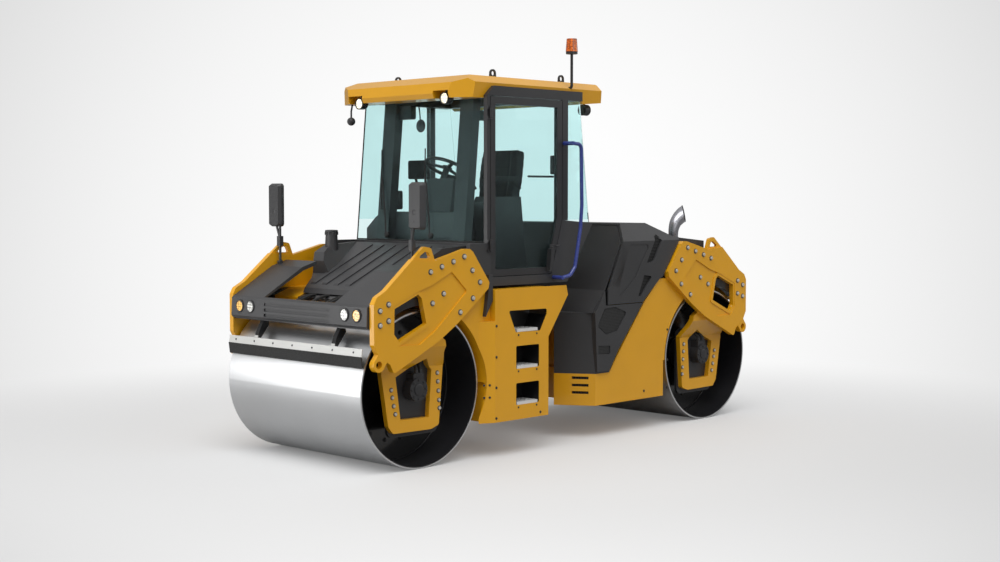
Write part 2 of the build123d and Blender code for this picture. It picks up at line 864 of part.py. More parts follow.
def rear_glass_x(z):
    """Place along X of the cab's sloping rear face."""
    return -180 + (z - rear_sill) * 0.12


def front_glass_x(z):
    """Place along X of the windscreen, which leans out towards its foot."""
    return cab_front + 25 - (z - glass_low) * 0.092


def make_cab_tub():
    """Lower cab: floor, front wall, low right wall, sloping rear corner and the skirt beside each yoke."""
    with BuildPart() as tub:
        with BuildSketch(side(cab_half)):
            Polygon(
                (cab_front + 40, cab_bottom), (cab_front + 40, glass_low), (cab_front, glass_low),
                (cab_front, cab_bottom + cab_wall), (150 - 26, cab_bottom + cab_wall), (-140, 1900),
                (-180, 1900),
                (150, cab_bottom), align=None,
            )
        extrude(amount=2 * cab_half)
        for y in (cab_half, -cab_half + cab_wall):
            with BuildSketch(side(y)):
                Polygon(
                    (150, cab_bottom), (-180, 1900), (door_rear - 6, 1930), (354, sill - 6),
                    (354, cab_bottom),
                    align=None,
                )
            extrude(amount=cab_wall)
        with BuildSketch(side(-cab_half + cab_wall)):
            Polygon(
                (cab_front, cab_bottom), (cab_front, glass_low), (200, glass_low), (300, cab_bottom),
                align=None,
            )
        extrude(amount=cab_wall)
        with BuildSketch(side(cab_half)):
            Polygon(
                (354, cab_bottom), (354, sill - 6), (cab_front, sill - 6), (cab_front, cab_bottom),
                align=None,
            )
        extrude(amount=cab_wall)
        for y in (cab_half, -cab_half + cab_wall):
            with BuildSketch(side(y)):
                Polygon(
                    (cab_front + 6, cab_bottom), (cab_front + 6, glass_low), (1320, glass_low),
                    (1340, 1600),
                    (1230, cab_bottom), align=None,
                )
            extrude(amount=cab_wall)
        for y in (tongue_outer, -cab_half + 2):
            with BuildSketch(side(y)):
                Polygon((1119, 1500), (1119, 1290), (1200, 1160), (1164, 1390), (1164, 1500), align=None)
            extrude(amount=tongue_outer - cab_half + 2)
        with BuildSketch(Plane.XY.offset(cab_bottom)):
            Rectangle(2 * far, 2 * frame_half + 1)
        extrude(amount=-400, mode=Mode.SUBTRACT)
    return tub.part


def make_cab_frame():
    """Cab posts, the ring beam under the roof and the door post on the left."""
    beam_opening = [(60, -roof_flat), (860, -roof_flat), (860, roof_flat), (60, roof_flat)]
    with BuildPart() as frame:
        with BuildSketch(Plane.XY.offset(door_top)):
            Polygon(
                (rear_glass_x(door_top) + 12, -roof_half + 10), (920, -roof_half + 10),
                (920, roof_half - 10),
                (rear_glass_x(door_top) + 12, roof_half - 10), align=None,
            )
            Polygon(*beam_opening, align=None, mode=Mode.SUBTRACT)
        extrude(amount=roof_seat - door_top)
        with BuildSketch(Plane.XY.offset(door_top)):
            Polygon(
                (900, -roof_half + 10), (cab_front - 95, -roof_half + 10),
                (cab_front - 95, roof_half - 10),
                (900, roof_half - 10), align=None,
            )
        extrude(amount=roof_low + 60 - door_top)
        with BuildSketch(side(cab_half)):
            Polygon(
                (door_rear, door_top), (cab_front + 40, door_top), (cab_front - 40, roof_seat),
                (door_rear, roof_seat),
                align=None,
            )
        extrude(amount=cab_wall)
        with BuildSketch(side(cab_half)):
            Polygon(
                (cab_front + 6, glass_low + 0.3), (cab_front + 40, glass_low + 0.3),
                (cab_front + 40, door_top),
                (cab_front + 6, door_top), align=None,
            )
        extrude(amount=cab_wall)
        for y in (post_y + 75, -post_y + 75):
            with BuildSketch(side(y)):
                Polygon(
                    (front_glass_x(glass_low) - 14, glass_low + 0.3),
                    (front_glass_x(door_top) - 14, door_top),
                    (front_glass_x(door_top) - 100, door_top),
                    (front_glass_x(glass_low) - 100, glass_low + 0.3),
                    align=None,
                )
            extrude(amount=150)
        for y in (cab_half, -cab_half + cab_wall):
            with BuildSketch(side(y)):
                Polygon(
                    (door_rear - 6, door_top), (door_rear - 6, 1930.3), (door_rear - 76, 1927),
                    (door_rear - 76, door_top),
                    align=None,
                )
            extrude(amount=cab_wall)
        with BuildSketch(side(cab_half)):
            Polygon(
                (rear_glass_x(door_top) + 12, door_top), (door_rear, door_top), (door_rear, roof_seat),
                (rear_glass_x(door_top) + 12, roof_seat), align=None,
            )
        extrude(amount=2 * cab_half)
        with BuildSketch(Plane.XY.offset(door_top - 10)):
            Polygon(*beam_opening, align=None)
        extrude(amount=400, mode=Mode.SUBTRACT)
        add(make_roof(), mode=Mode.SUBTRACT)
    return frame.part


def make_glass():
    """Windscreen, rear window, rear side windows and the fixed right window."""
    with BuildPart() as front:
        with BuildSketch(side(glass_half)):
            Polygon(
                (front_glass_x(glass_low) - 12, glass_low + 0.3),
                (front_glass_x(glass_low) - 12 + glass, glass_low + 0.3),
                (front_glass_x(door_top) - 12 + glass, door_top - 0.3),
                (front_glass_x(door_top) - 12, door_top - 0.3),
                align=None,
            )
        extrude(amount=2 * glass_half)
    with BuildPart() as rear:
        with BuildSketch(side(glass_half)):
            Polygon(
                (rear_glass_x(rear_sill), rear_sill + 0.3),
                (rear_glass_x(rear_sill) + glass, rear_sill + 0.3),
                (rear_glass_x(door_top) + glass, door_top - 0.3),
                (rear_glass_x(door_top), door_top - 0.3), align=None,
            )
        extrude(amount=2 * glass_half)
    with BuildPart() as quarter:
        with BuildSketch(side(glass_half)):
            Polygon(
                (rear_glass_x(1930) + glass + 0.3, 1931), (door_rear - 76.3, 1931),
                (door_rear - 76.3, door_top - 0.3),
                (rear_glass_x(door_top) + glass + 0.3, door_top - 0.3), align=None,
            )
        extrude(amount=glass)
    with BuildPart() as right:
        with BuildSketch(side(-glass_half + glass)):
            Polygon(
                (door_rear - 5.7, 1931), (front_glass_x(1931) - 15, 1931),
                (front_glass_x(door_top) - 15, door_top - 0.3),
                (door_rear - 5.7, door_top - 0.3), align=None,
            )
        extrude(amount=glass)
    return front.part, rear.part, both_sides(quarter.part) + [right.part]


def make_roof():
    """Roof shell: low plateau with sloping sides, front and rear ends turned down over the glass."""
    with BuildPart() as roof:
        with BuildSketch(side(roof_half + 40)):
            Polygon(
                (-410, roof_top - 30), (-380, roof_top), (1180, roof_top), (1330, roof_rim),
                (1350, roof_low + 40),
                (1335, roof_low), (1110, roof_low), (860, roof_seat), (40, roof_seat), (-100, roof_low),
                (-395, roof_low + 25), (-440, roof_rim - 20), align=None,
            )
        extrude(amount=2 * roof_half + 80)
        with BuildSketch(Plane.YZ.offset(-1000)):
            Polygon(
                (-roof_flat, roof_top), (roof_flat, roof_top), (roof_half + 20, roof_rim),
                (roof_half, roof_low - 10),
                (-roof_half, roof_low - 10), (-roof_half - 20, roof_rim), align=None,
            )
        extrude(amount=2 * far, mode=Mode.INTERSECT)
        with BuildSketch(Plane.XY.offset(roof_low - 20)):
            Polygon(
                (1350, 180 - roof_half), (1230, -roof_half - 20), (900, -cab_half), (-100, -cab_half),
                (-330, -roof_half - 20), (-440, 180 - roof_half), (-440, roof_half - 180),
                (-330, roof_half + 20), (-100, cab_half), (900, cab_half), (1230, roof_half + 20),
                (1350, roof_half - 180), align=None,
            )
        extrude(amount=300, mode=Mode.INTERSECT)
        for y in (roof_lamp[1], -roof_lamp[1]):
            with BuildSketch(side(y + lamp_recess)):
                Polygon(
                    (1185, roof_low - 30), (1205, 2992), (1400, 2992), (1400, roof_low - 30), align=None,
                )
            extrude(amount=2 * lamp_recess, mode=Mode.SUBTRACT)
    return roof.part


def make_roof_lamps():
    """Left half of the roof lamps: a front one in its recess and a rear one, each on a short bracket."""
    x, y, z = roof_lamp
    with BuildPart() as lamps:
        with BuildSketch(Plane.YZ.offset(x)):
            with Locations((y, z)):
                Circle(48)
        extrude(amount=45)
        with BuildSketch(Plane.YZ.offset(x)):
            with Locations((y, z)):
                Circle(48)
        extrude(amount=-25, taper=25)
        with BuildSketch(Plane.XY.offset(z + 30)):
            with Locations((x + 20, y)):
                Circle(12)
        extrude(amount=60)
        with BuildSketch(Plane.YZ.offset(-330)):
            with Locations((640, 2895)):
                Circle(48)
        extrude(amount=60)
        with BuildSketch(Plane.XY.offset(2900)):
            with Locations((-300, 640)):
                Circle(12)
        extrude(amount=roof_low - 2900 + 60)
        add(make_roof(), mode=Mode.SUBTRACT)
    return lamps.part


def make_spotter():
    """Small round mirror hung from the roof's front right corner, to see the drum's edge."""
    with BuildPart() as spotter:
        with BuildLine():
            FilletPolyline((1270, -662, roof_low + 10), (1285, -662, 2870), (1300, -645, 2790), radius=30)
        with BuildSketch(Plane.XY.offset(roof_low + 10)):
            with Locations((1270, -662)):
                Circle(8)
        sweep()
        with Locations((1300, -645, 2782)):
            Sphere(36)
        add(make_roof(), mode=Mode.SUBTRACT)
    return spotter.part


def make_eyes():
    """Four lifting eyes on the roof."""
    with BuildPart() as eye:
        with BuildSketch(side(eye_place[1] + 8)):
            with Locations((eye_place[0], roof_top + eye_rise)):
                Circle(34)
            with Locations((eye_place[0], roof_top + 15.3)):
                Rectangle(70, 30)
            with Locations((eye_place[0], roof_top + eye_rise)):
                Circle(20, mode=Mode.SUBTRACT)
        extrude(amount=16)
    with BuildPart() as rear_eye:
        add(Pos(-eye_spread, 0, 0) * eye.part)
    return both_sides(eye.part) + both_sides(rear_eye.part)


def make_beacon():
    """Beacon pole bent up from the roof's left edge, and the orange lens on it."""
    x, y = beacon_place
    foot = roof_rim + 5
    with BuildPart() as pole:
        with BuildLine():
            FilletPolyline((x, y - 60, foot), (x, y, foot), (x, y, beacon_low), radius=25)
        with BuildSketch(Plane.XZ.offset(60 - y)):
            with Locations((x, foot)):
                Circle(12)
        sweep()
        with BuildSketch(Plane.XY.offset(beacon_low)):
            with Locations((x, y)):
                Circle(50)
        extrude(amount=20)
        add(make_roof(), mode=Mode.SUBTRACT)
    with BuildPart() as lens:
        with BuildSketch(Plane.XY.offset(beacon_low + 20.3)):
            with Locations((x, y)):
                Circle(52)
        extrude(amount=110, taper=4)
    return pole.part, lens.part


def make_handrail():
    """Blue rail beside the cab door."""
    with BuildPart() as rail:
        with BuildLine():
            FilletPolyline(*[(px, rail_y, pz) for px, pz in rail_route], radius=45)
        with BuildSketch(Plane(origin=(rail_route[0][0], rail_y, rail_route[0][1]), z_dir=(-1, 0, -0.3))):
            Circle(16)
        sweep()
        for px, pz in (rail_route[0], rail_route[-1]):
            with BuildSketch(side(rail_y + 12)):
                with Locations((px, pz)):
                    Circle(17)
            extrude(amount=rail_y + 12 - cab_half)
    return rail.part


def make_door():
    """Left door: one framed sheet of glass, hinged at its front edge."""
    outline = [
        (cab_front, sill), (cab_front, door_top - 6), (door_rear, door_top - 6), (door_rear, 1930),
        (360, sill),
    ]
    inner = [
        (cab_front - 55, sill + 55), (cab_front - 55, door_top - 66), (door_rear + 60, door_top - 66),
        (door_rear + 60, 1940), (400, sill + 55),
    ]
    with BuildPart() as frame:
        with BuildSketch(side(cab_half)):
            Polygon(*outline, align=None)
            Polygon(*inner, align=None, mode=Mode.SUBTRACT)
        extrude(amount=cab_wall)
        with BuildSketch(side(cab_half + 45)):
            Polygon((380, 1500), (420, 1500), (400, 1690), (360, 1690), align=None)
        extrude(amount=45)
        for z in hinge_levels:
            with BuildSketch(Plane.XY.offset(z)):
                with Locations((door_pin[0], door_pin[1])):
                    Circle(13)
                    Circle(7.3, mode=Mode.SUBTRACT)
                with Locations((door_pin[0] - 22, cab_half + 4)):
                    Rectangle(30, 8)
            extrude(amount=60)
    with BuildPart() as pane:
        with BuildSketch(side(cab_half - 16)):
            Polygon(*inner, align=None)
        extrude(amount=6)
    return frame.part, pane.part


def make_door_hinges():
    """Fixed halves of the door hinges, with their pins."""
    with BuildPart() as hinges:
        for z in hinge_levels:
            with BuildSketch(Plane.XY.offset(z - 20)):
                with Locations((door_pin[0], door_pin[1])):
                    Circle(7)
            extrude(amount=100)
            for low in (z - 20, z + 60.3):
                with BuildSketch(Plane.XY.offset(low)):
                    with Locations((door_pin[0], door_pin[1])):
                        Circle(13)
                    with Locations((door_pin[0] + 15, cab_half + 6)):
                        Rectangle(30, 12)
                extrude(amount=19.7)
    return hinges.part


def make_seat():
    """Seat back and cushion as plain closed forms, and the base under them."""
    with BuildPart() as cushions:
        with BuildSketch(side(seat_y + 250)):
            Polygon((200, 1930), (720, 1950), (720, 2060), (200, 2038), align=None)
        extrude(amount=500)
        with BuildSketch(side(seat_y + 240)):
            Polygon((130, 2040.4), (250, 2040.4), (175, 2560), (75, 2540), align=None)
        extrude(amount=480)
    with BuildPart() as base:
        with BuildSketch(side(seat_y + 210)):
            Polygon(
                (260, cab_bottom + cab_wall), (680, cab_bottom + cab_wall), (700, 1949), (260, 1930),
                align=None,
            )
        extrude(amount=420)
        for y in (seat_y + 380, seat_y - 260):
            with BuildSketch(side(y)):
                Polygon(
                    (220, cab_bottom + cab_wall), (700, cab_bottom + cab_wall), (760, 2080), (730, 2130),
                    (300, 2130),
                    align=None,
                )
            extrude(amount=120)
    return cushions.part.solids(), base.part.solids()


def make_dash():
    """Steering column and console before the seat, with its wheel."""
    with BuildPart() as dash:
        with BuildSketch(side(seat_y + 160)):
            Polygon(
                (760, cab_bottom + cab_wall), (960, cab_bottom + cab_wall), (960, 1900), (890, 2285),
                (830, 2255),
                (840, 1900), align=None,
            )
        extrude(amount=320)
    wheel_plane = Plane(origin=wheel_place, x_dir=(0, 1, 0), z_dir=(-0.45, 0, 0.9))
    with BuildPart(wheel_plane) as wheel:
        Torus(wheel_radius, 15)
        with BuildSketch(wheel_plane):
            Circle(45)
            with PolarLocations(wheel_radius / 2, 3, start_angle=90):
                Rectangle(wheel_radius, 30)
        extrude(amount=8, both=True)
        with BuildSketch(wheel_plane):
            Circle(28)
        extrude(amount=-column_gap)
    return dash.part, wheel.part


def make_engine():
    """Engine as one plain block on the floor of the rear tray."""
    with BuildPart() as engine:
        with BuildSketch(side(360)):
            Polygon(
                (-990, frame_bottom + wall), (-460, frame_bottom + wall), (-460, 1180), (-520, 1420),
                (-980, 1420),
                (-990, 1300), align=None,
            )
        extrude(amount=720)
    return engine.part


def make_exhaust():
    """Exhaust elbow on the rear deck, its mouth cut square to the bend."""
    x, y = exhaust_place
    with BuildPart() as pipe:
        with BuildLine():
            FilletPolyline((x, y, exhaust_base + 0.3), (x, y, 1870), (x - 150, y, 1985), radius=110)
        with BuildSketch(Plane.XY.offset(exhaust_base + 0.3)):
            with Locations((x, y)):
                Circle(exhaust_radius)
                Circle(exhaust_radius - 4, mode=Mode.SUBTRACT)
        sweep()
        with BuildSketch(Plane.XY.offset(exhaust_base + 0.3)):
            with Locations((x, y)):
                Circle(exhaust_radius + 14)
                Circle(exhaust_radius - 4, mode=Mode.SUBTRACT)
        extrude(amount=60)
    return pipe.part


def save(part, label):
    """Write one named piece."""
    piece = Compound(part) if isinstance(part, (list, ShapeList)) else part
    piece.label = label
    export_step(piece, f"parts/{label}.step")


def main():
    os.makedirs("parts", exist_ok=True)
    yoke = make_yoke()
    save(yoke, "front_yoke_left")
    save(mirror(yoke, Plane.XZ), "front_yoke_right")
    save(mirror(yoke, Plane.YZ), "rear_yoke_left")
    save(mirror(mirror(yoke, Plane.XZ), Plane.YZ), "rear_yoke_right")
    for name, sign in (("front", 1), ("rear", -1)):
        save(drum_shell(sign * axle_x), name + "_drum_shell")
        save(drum_heads(sign * axle_x), name + "_drum_heads")
        save(drum_carriers(sign * axle_x, sign), name + "_drum_carriers")
    save(make_front_chassis(), "front_chassis")
    panel = make_side_panel()
    save(panel, "side_panel_left")
    save(mirror(panel, Plane.XZ), "side_panel_right")
    save(make_steps(), "ladder_steps")
    cover = make_cover()
    bar = make_light_bar()
    strip, blade = make_scraper()
    save(cover, "front_cover")
    save(bar, "front_light_bar")
    save(make_rear_bar(bar), "rear_light_bar")
    save(make_rear_cover(), "rear_cover")
    for name, places in (("white", lamp_places[:2]), ("amber", lamp_places[2:])):
        save(make_lamps(places), "front_lamps_" + name)
    save([mirror(s, Plane.YZ) for s in make_lamps(lamp_places)], "rear_lamps")
    save(strip, "front_scraper_strip")
    save(blade, "front_scraper_blade")
    save(mirror(strip, Plane.YZ), "rear_scraper_strip")
    save(mirror(blade, Plane.YZ), "rear_scraper_blade")
    save(both_sides(make_mirrors()), "mirrors")
    save(make_knuckle(), "centre_joint")
    for name, hand in (("left", 1), ("right", -1)):
        barrel, rod = make_ram(hand)
        save(barrel, "steering_ram_barrel_" + name)
        save(rod, "steering_ram_rod_" + name)
    save(make_rear_chassis(), "rear_chassis")
    save(make_cowl(), "engine_cowl")
    save(make_hood(), "engine_hood")
    save(make_hood_hinges(), "hood_hinges")
    save(make_engine(), "engine_block")
    save(make_exhaust(), "exhaust_pipe")
    save(make_cab_tub(), "cab_tub")
    save(make_cab_frame(), "cab_frame")
    windscreen, rear_window, side_windows = make_glass()
    save(windscreen, "windscreen")
    save(rear_window, "rear_window")
    save(side_windows, "side_windows")
    save(make_roof(), "cab_roof")
    lamps = both_sides(make_roof_lamps()) + [make_spotter()]
    save([s for p in lamps for s in p.solids()], "roof_lamps")
    save(make_eyes(), "roof_eyes")
    pole, lens = make_beacon()
    save(pole, "beacon_pole")
    save(lens, "beacon_lens")
    save(make_handrail(), "handrail")
    door, pane = make_door()
    save(door, "door_frame")
    save(pane, "door_glass")
    save(make_door_hinges(), "door_hinges")
    cushions, base = make_seat()
    save(cushions, "seat_cushions")
    save(base, "seat_base")
    dash, wheel = make_dash()
    save(dash, "steering_console")
    save(wheel, "steering_wheel")


main()
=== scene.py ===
"""Looks of the road roller: materials, small parts and studio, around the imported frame."""

from math import cos, exp, radians, sin, tau

import bmesh
import bpy
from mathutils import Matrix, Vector


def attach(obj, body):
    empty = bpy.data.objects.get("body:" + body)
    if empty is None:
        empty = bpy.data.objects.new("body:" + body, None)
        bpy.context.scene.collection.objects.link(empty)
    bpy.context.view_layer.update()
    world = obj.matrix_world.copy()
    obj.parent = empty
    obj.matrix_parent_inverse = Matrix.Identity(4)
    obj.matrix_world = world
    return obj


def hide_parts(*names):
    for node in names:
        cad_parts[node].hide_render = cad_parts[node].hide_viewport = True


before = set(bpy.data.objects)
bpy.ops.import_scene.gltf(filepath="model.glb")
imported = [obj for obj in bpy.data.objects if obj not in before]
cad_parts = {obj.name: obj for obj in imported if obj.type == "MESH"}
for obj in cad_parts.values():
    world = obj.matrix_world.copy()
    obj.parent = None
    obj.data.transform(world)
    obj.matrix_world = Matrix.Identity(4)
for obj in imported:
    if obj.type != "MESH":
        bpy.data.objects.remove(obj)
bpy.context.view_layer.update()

# Camera, found from the photograph's perspective; the picture is 1000 pixels wide
camera_place = (9.660, 9.343, 2.132)
camera_yaw = -2.36723
camera_pitch = -0.0570
focal_pixels = 1482.87
picture_width = 1000
sensor_width = 36.0
camera_reach = 200

# Studio; the painted shade of floor and backdrop, darker away from the middle of the view, is fixed in the
# world and stays there when the camera moves
fade_place = camera_place
fade_middle = (-0.7124, -0.6986, -0.0669)
fade_band = (0.925, 0.992)
backdrop_bright = 0.99
backdrop_edge = 0.72
sky_low = 0.32
sky_high = 1.0
sky_band = (0.02, 0.75)
sky_strength = 0.62
sun_power = 1.75
sun_spread = radians(50)
sun_place = (3.5, 3.2, 9.0)
floor_side = 160
floor_albedo = 0.73
floor_bounce = 0.36
floor_glow = 0.12
floor_fade = (3.2, 7.0)
soft_panels = (
    ("key", (7.5, -2.0, 1.35), (1.8, 0, 0.6), (7, 2.2), 165),
    ("side", (1.5, 9.0, 4.5), (0, 0, 1.5), (7, 2.5), 60),
    ("rear", (-6.5, 5.0, 5.0), (-1.5, 0, 1.3), (4, 4), 50),
)

# Driving sizes of the machine, in metres
axle_x = 1.85
axle_z = 0.62
drum_radius = 0.62
drum_skin = 0.012
head_face = 0.5003
yoke_face = 0.92
pocket_depth = 0.012
loop_face = 0.765
motor_face = 0.8155
panel_face = 0.93
rear_side_face = 0.8702
bar_front = 2.425
lamp_height = 1.23
pipe_x = -2.065
pipe_y = 0.28
seat_middle = 0.06

# Bolt heads, by half width
large_bolt = 0.016
middle_bolt = 0.013
small_bolt = 0.008
tiny_bolt = 0.006

# Edges
plate_edge = 0.003
fold_angle = radians(35)

# Directions
hands = (1, -1)
up = (0, 0, 1)
ends = (("front", 1, "front_frame"), ("rear", -1, "rear_frame"))

# Sockets of the colour mixing node
mix_share, mix_first, mix_second, mix_result = 0, 6, 7, 2


# Node helpers
def material(name):
    """A new material, its node tree and its main shader."""
    made = bpy.data.materials.new(name)
    made.use_nodes = True
    tree = made.node_tree
    return made, tree, tree.nodes["Principled BSDF"]


def add_node(tree, kind, **values):
    """A node with some of its settings or inputs given by name."""
    node = tree.nodes.new(kind)
    for key, value in values.items():
        if hasattr(node, key):
            setattr(node, key, value)
        else:
            node.inputs[key.replace("_", " ")].default_value = value
    return node


def object_place(tree):
    """Object coordinates, which are metres in the machine's frame."""
    return tree.nodes.new("ShaderNodeTexCoord").outputs["Object"]


def split_place(tree):
    """Object coordinates taken apart."""
    split = tree.nodes.new("ShaderNodeSeparateXYZ")
    tree.links.new(object_place(tree), split.inputs[0])
    return split


def noise(tree, scale, detail=3.0, stretch=(1, 1, 1)):
    """Noise in object space, squeezed along some axes."""
    fit = add_node(tree, "ShaderNodeMapping")
    fit.inputs["Scale"].default_value = stretch
    tree.links.new(object_place(tree), fit.inputs["Vector"])
    texture = add_node(tree, "ShaderNodeTexNoise", Scale=scale, Detail=detail)
    tree.links.new(fit.outputs["Vector"], texture.inputs["Vector"])
    return texture.outputs["Fac"]


def cells(tree, scale, randomness):
    """Distance from the middle of each cell of a pattern."""
    texture = add_node(tree, "ShaderNodeTexVoronoi", Scale=scale, Randomness=randomness)
    tree.links.new(object_place(tree), texture.inputs["Vector"])
    return texture.outputs["Distance"]


def ramp(tree, source, low, high, start=0.3, end=0.7):
    """A colour or grey ramp driven by a texture."""
    node = tree.nodes.new("ShaderNodeValToRGB")
    node.color_ramp.elements[0].position = start
    node.color_ramp.elements[1].position = end
    node.color_ramp.elements[0].color = low
    node.color_ramp.elements[1].color = high
    tree.links.new(source, node.inputs["Fac"])
    return node.outputs["Color"]


def grey(value):
    """An opaque grey."""
    return (value, value, value, 1)


def scaled(colour, factor):
    """An opaque colour, darker or lighter, and never above one."""
    return tuple(min(1.0, channel * factor) for channel in colour) + (1,)


def bump(tree, shader, source, strength, distance=0.001):
    """Relief from a texture on the shader's normal."""
    node = add_node(tree, "ShaderNodeBump", Strength=strength, Distance=distance)
    tree.links.new(source, node.inputs["Height"])
    tree.links.new(node.outputs["Normal"], shader.inputs["Normal"])


def joined(tree, operation, first, second):
    """Two values put together, or the second alone where there is no first."""
    if first is None:
        return second
    node = add_node(tree, "ShaderNodeMath", operation=operation)
    tree.links.new(first, node.inputs[0])
    tree.links.new(second, node.inputs[1])
    return node.outputs[0]


def mixed(tree, share, first, second, blend_type="MIX"):
    """Two colours mixed; each argument is a socket or a fixed value."""
    node = add_node(tree, "ShaderNodeMix", data_type="RGBA", blend_type=blend_type)
    for index, source in ((mix_share, share), (mix_first, first), (mix_second, second)):
        if isinstance(source, bpy.types.NodeSocket):
            tree.links.new(source, node.inputs[index])
        else:
            node.inputs[index].default_value = source
    return node.outputs[mix_result]


def inside(tree, boxes):
    """One inside any of the boxes, of which each gives a middle and half a size three times."""
    split = split_place(tree)
    off_middle = add_node(tree, "ShaderNodeMath", operation="ABSOLUTE")
    tree.links.new(split.outputs["Y"], off_middle.inputs[0])
    coordinates = (split.outputs["X"], off_middle.outputs[0], split.outputs["Z"])
    total = None
    for box in boxes:
        product = None
        for coordinate, (middle, half) in zip(coordinates, box):
            near = add_node(tree, "ShaderNodeMath", operation="COMPARE")
            near.inputs[1].default_value = middle
            near.inputs[2].default_value = half
            tree.links.new(coordinate, near.inputs[0])
            product = joined(tree, "MULTIPLY", product, near.outputs[0])
        total = joined(tree, "MAXIMUM", total, product)
    return total


def surface(name, colour, rough, mottle, grain, relief, metal=0.0, coat=0.0, shade_boxes=()):
    """A painted, moulded or metal surface, uneven in colour and gloss; painted shade, near black, inside
    the boxes where shade falls.
    """
    made, tree, shader = material(name)
    shader.inputs["Metallic"].default_value = metal
    shader.inputs["Coat Weight"].default_value = coat
    shader.inputs["Coat Roughness"].default_value = 0.08
    patches = noise(tree, 2.3, 4.0)
    tint = ramp(tree, patches, scaled(colour, 1 - mottle), scaled(colour, 1 + mottle))
    # Painted shade: near-black colour inside the boxes, where hollows and the undersides of parts lie in
    # shade
    if shade_boxes:
        tint = mixed(tree, inside(tree, shade_boxes), tint, (0.010, 0.010, 0.011, 1))
    tree.links.new(tint, shader.inputs["Base Color"])
    gloss = noise(tree, grain / 4, 5.0)
    low, high = grey(rough * 0.85), grey(rough * 1.15)
    tree.links.new(ramp(tree, gloss, low, high), shader.inputs["Roughness"])
    bump(tree, shader, noise(tree, grain, 4.0), relief)
    return made


def drum_material(name, x):
    """Rolled steel outside with fine rings, and black paint inside."""
    made, tree, shader = material(name)
    split = split_place(tree)
    spoke = tree.nodes.new("ShaderNodeCombineXYZ")
    for axis, middle in (("X", x), ("Z", axle_z)):
        off = add_node(tree, "ShaderNodeMath", operation="SUBTRACT")
        off.inputs[1].default_value = middle
        tree.links.new(split.outputs[axis], off.inputs[0])
        tree.links.new(off.outputs[0], spoke.inputs[axis])
    radius = add_node(tree, "ShaderNodeVectorMath", operation="LENGTH")
    tree.links.new(spoke.outputs[0], radius.inputs[0])
    outside = add_node(tree, "ShaderNodeMath", operation="GREATER_THAN")
    outside.inputs[1].default_value = drum_radius - drum_skin
    tree.links.new(radius.outputs["Value"], outside.inputs[0])
    rings = noise(tree, 9.0, 6.0, (0.4, 34.0, 0.4))
    patches = noise(tree, 1.6, 4.0)
    ring_tint = ramp(tree, rings, grey(0.985), grey(1.0))
    patch_tint = ramp(tree, patches, (0.80, 0.81, 0.82, 1), (0.85, 0.86, 0.87, 1))
    steel = mixed(tree, 1.0, ring_tint, patch_tint, "MULTIPLY")
    colour = mixed(tree, outside.outputs[0], (0.012, 0.012, 0.014, 1), steel)
    tree.links.new(colour, shader.inputs["Base Color"])
    tree.links.new(outside.outputs[0], shader.inputs["Metallic"])
    tree.links.new(ramp(tree, rings, grey(0.33), grey(0.36)), shader.inputs["Roughness"])
    bump(tree, shader, rings, 0.008, 0.0002)
    return made


def glass_material(name, colour):
    """Clear tinted glass with a little dust."""
    made, tree, shader = material(name)
    shader.inputs["Transmission Weight"].default_value = 1.0
    shader.inputs["IOR"].default_value = 1.2
    haze = noise(tree, 1.5, 3.0)
    tint = ramp(tree, haze, scaled(colour, 0.96), scaled(colour, 1.0))
    tree.links.new(tint, shader.inputs["Base Color"])
    dust = noise(tree, 7.0, 6.0)
    tree.links.new(ramp(tree, dust, grey(0.0), grey(0.03), 0.4, 0.9), shader.inputs["Roughness"])
    return made


def lens_material(name, colour, glow):
    """Faceted lamp lens, partly clear."""
    made, tree, shader = material(name)
    shader.inputs["Transmission Weight"].default_value = 0.45
    shader.inputs["Coat Weight"].default_value = 0.8
    shader.inputs["Emission Strength"].default_value = glow
    facets = cells(tree, 48.0, 0.35)
    pattern = ramp(tree, facets, scaled(colour, 1.0), scaled(colour, 0.35), 0.34, 0.62)
    tree.links.new(pattern, shader.inputs["Base Color"])
    tree.links.new(pattern, shader.inputs["Emission Color"])
    tree.links.new(ramp(tree, noise(tree, 40.0), grey(0.08), grey(0.16)), shader.inputs["Roughness"])
    bump(tree, shader, facets, 0.4)
    return made


def mesh_material(name):
    """Punched sheet: holes in rows between grey webs; the holes carry painted shade, near black and without
    sheen.
    """
    made, tree, shader = material(name)
    holes = cells(tree, 75.0, 0.0)
    rim = (0.44, 0.52)
    # Painted shade: the holes are near black and without sheen, in place of the dark space behind them
    tree.links.new(ramp(tree, holes, grey(0.002), grey(0.03), *rim), shader.inputs["Base Color"])
    tree.links.new(ramp(tree, holes, grey(0.0), grey(0.35), *rim), shader.inputs["Specular IOR Level"])
    tree.links.new(ramp(tree, noise(tree, 50.0), grey(0.4), grey(0.6)), shader.inputs["Roughness"])
    bump(tree, shader, holes, 0.5)
    return made


def cloth_material(name, colour):
    """Woven seat cloth with crossing threads."""
    made, tree, shader = material(name)
    shader.inputs["Sheen Weight"].default_value = 0.1
    place = object_place(tree)
    weave = None
    for direction in ("X", "Z"):
        wave = add_node(
            tree, "ShaderNodeTexWave", Scale=220.0, Distortion=0.4, bands_direction=direction,
        )
        tree.links.new(place, wave.inputs["Vector"])
        weave = joined(tree, "MULTIPLY", weave, wave.outputs["Fac"])
    tree.links.new(ramp(tree, weave, scaled(colour, 0.8), scaled(colour, 1.0)), shader.inputs["Base Color"])
    tree.links.new(ramp(tree, noise(tree, 12.0), grey(0.8), grey(0.95)), shader.inputs["Roughness"])
    bump(tree, shader, weave, 0.2, 0.0006)
    return made
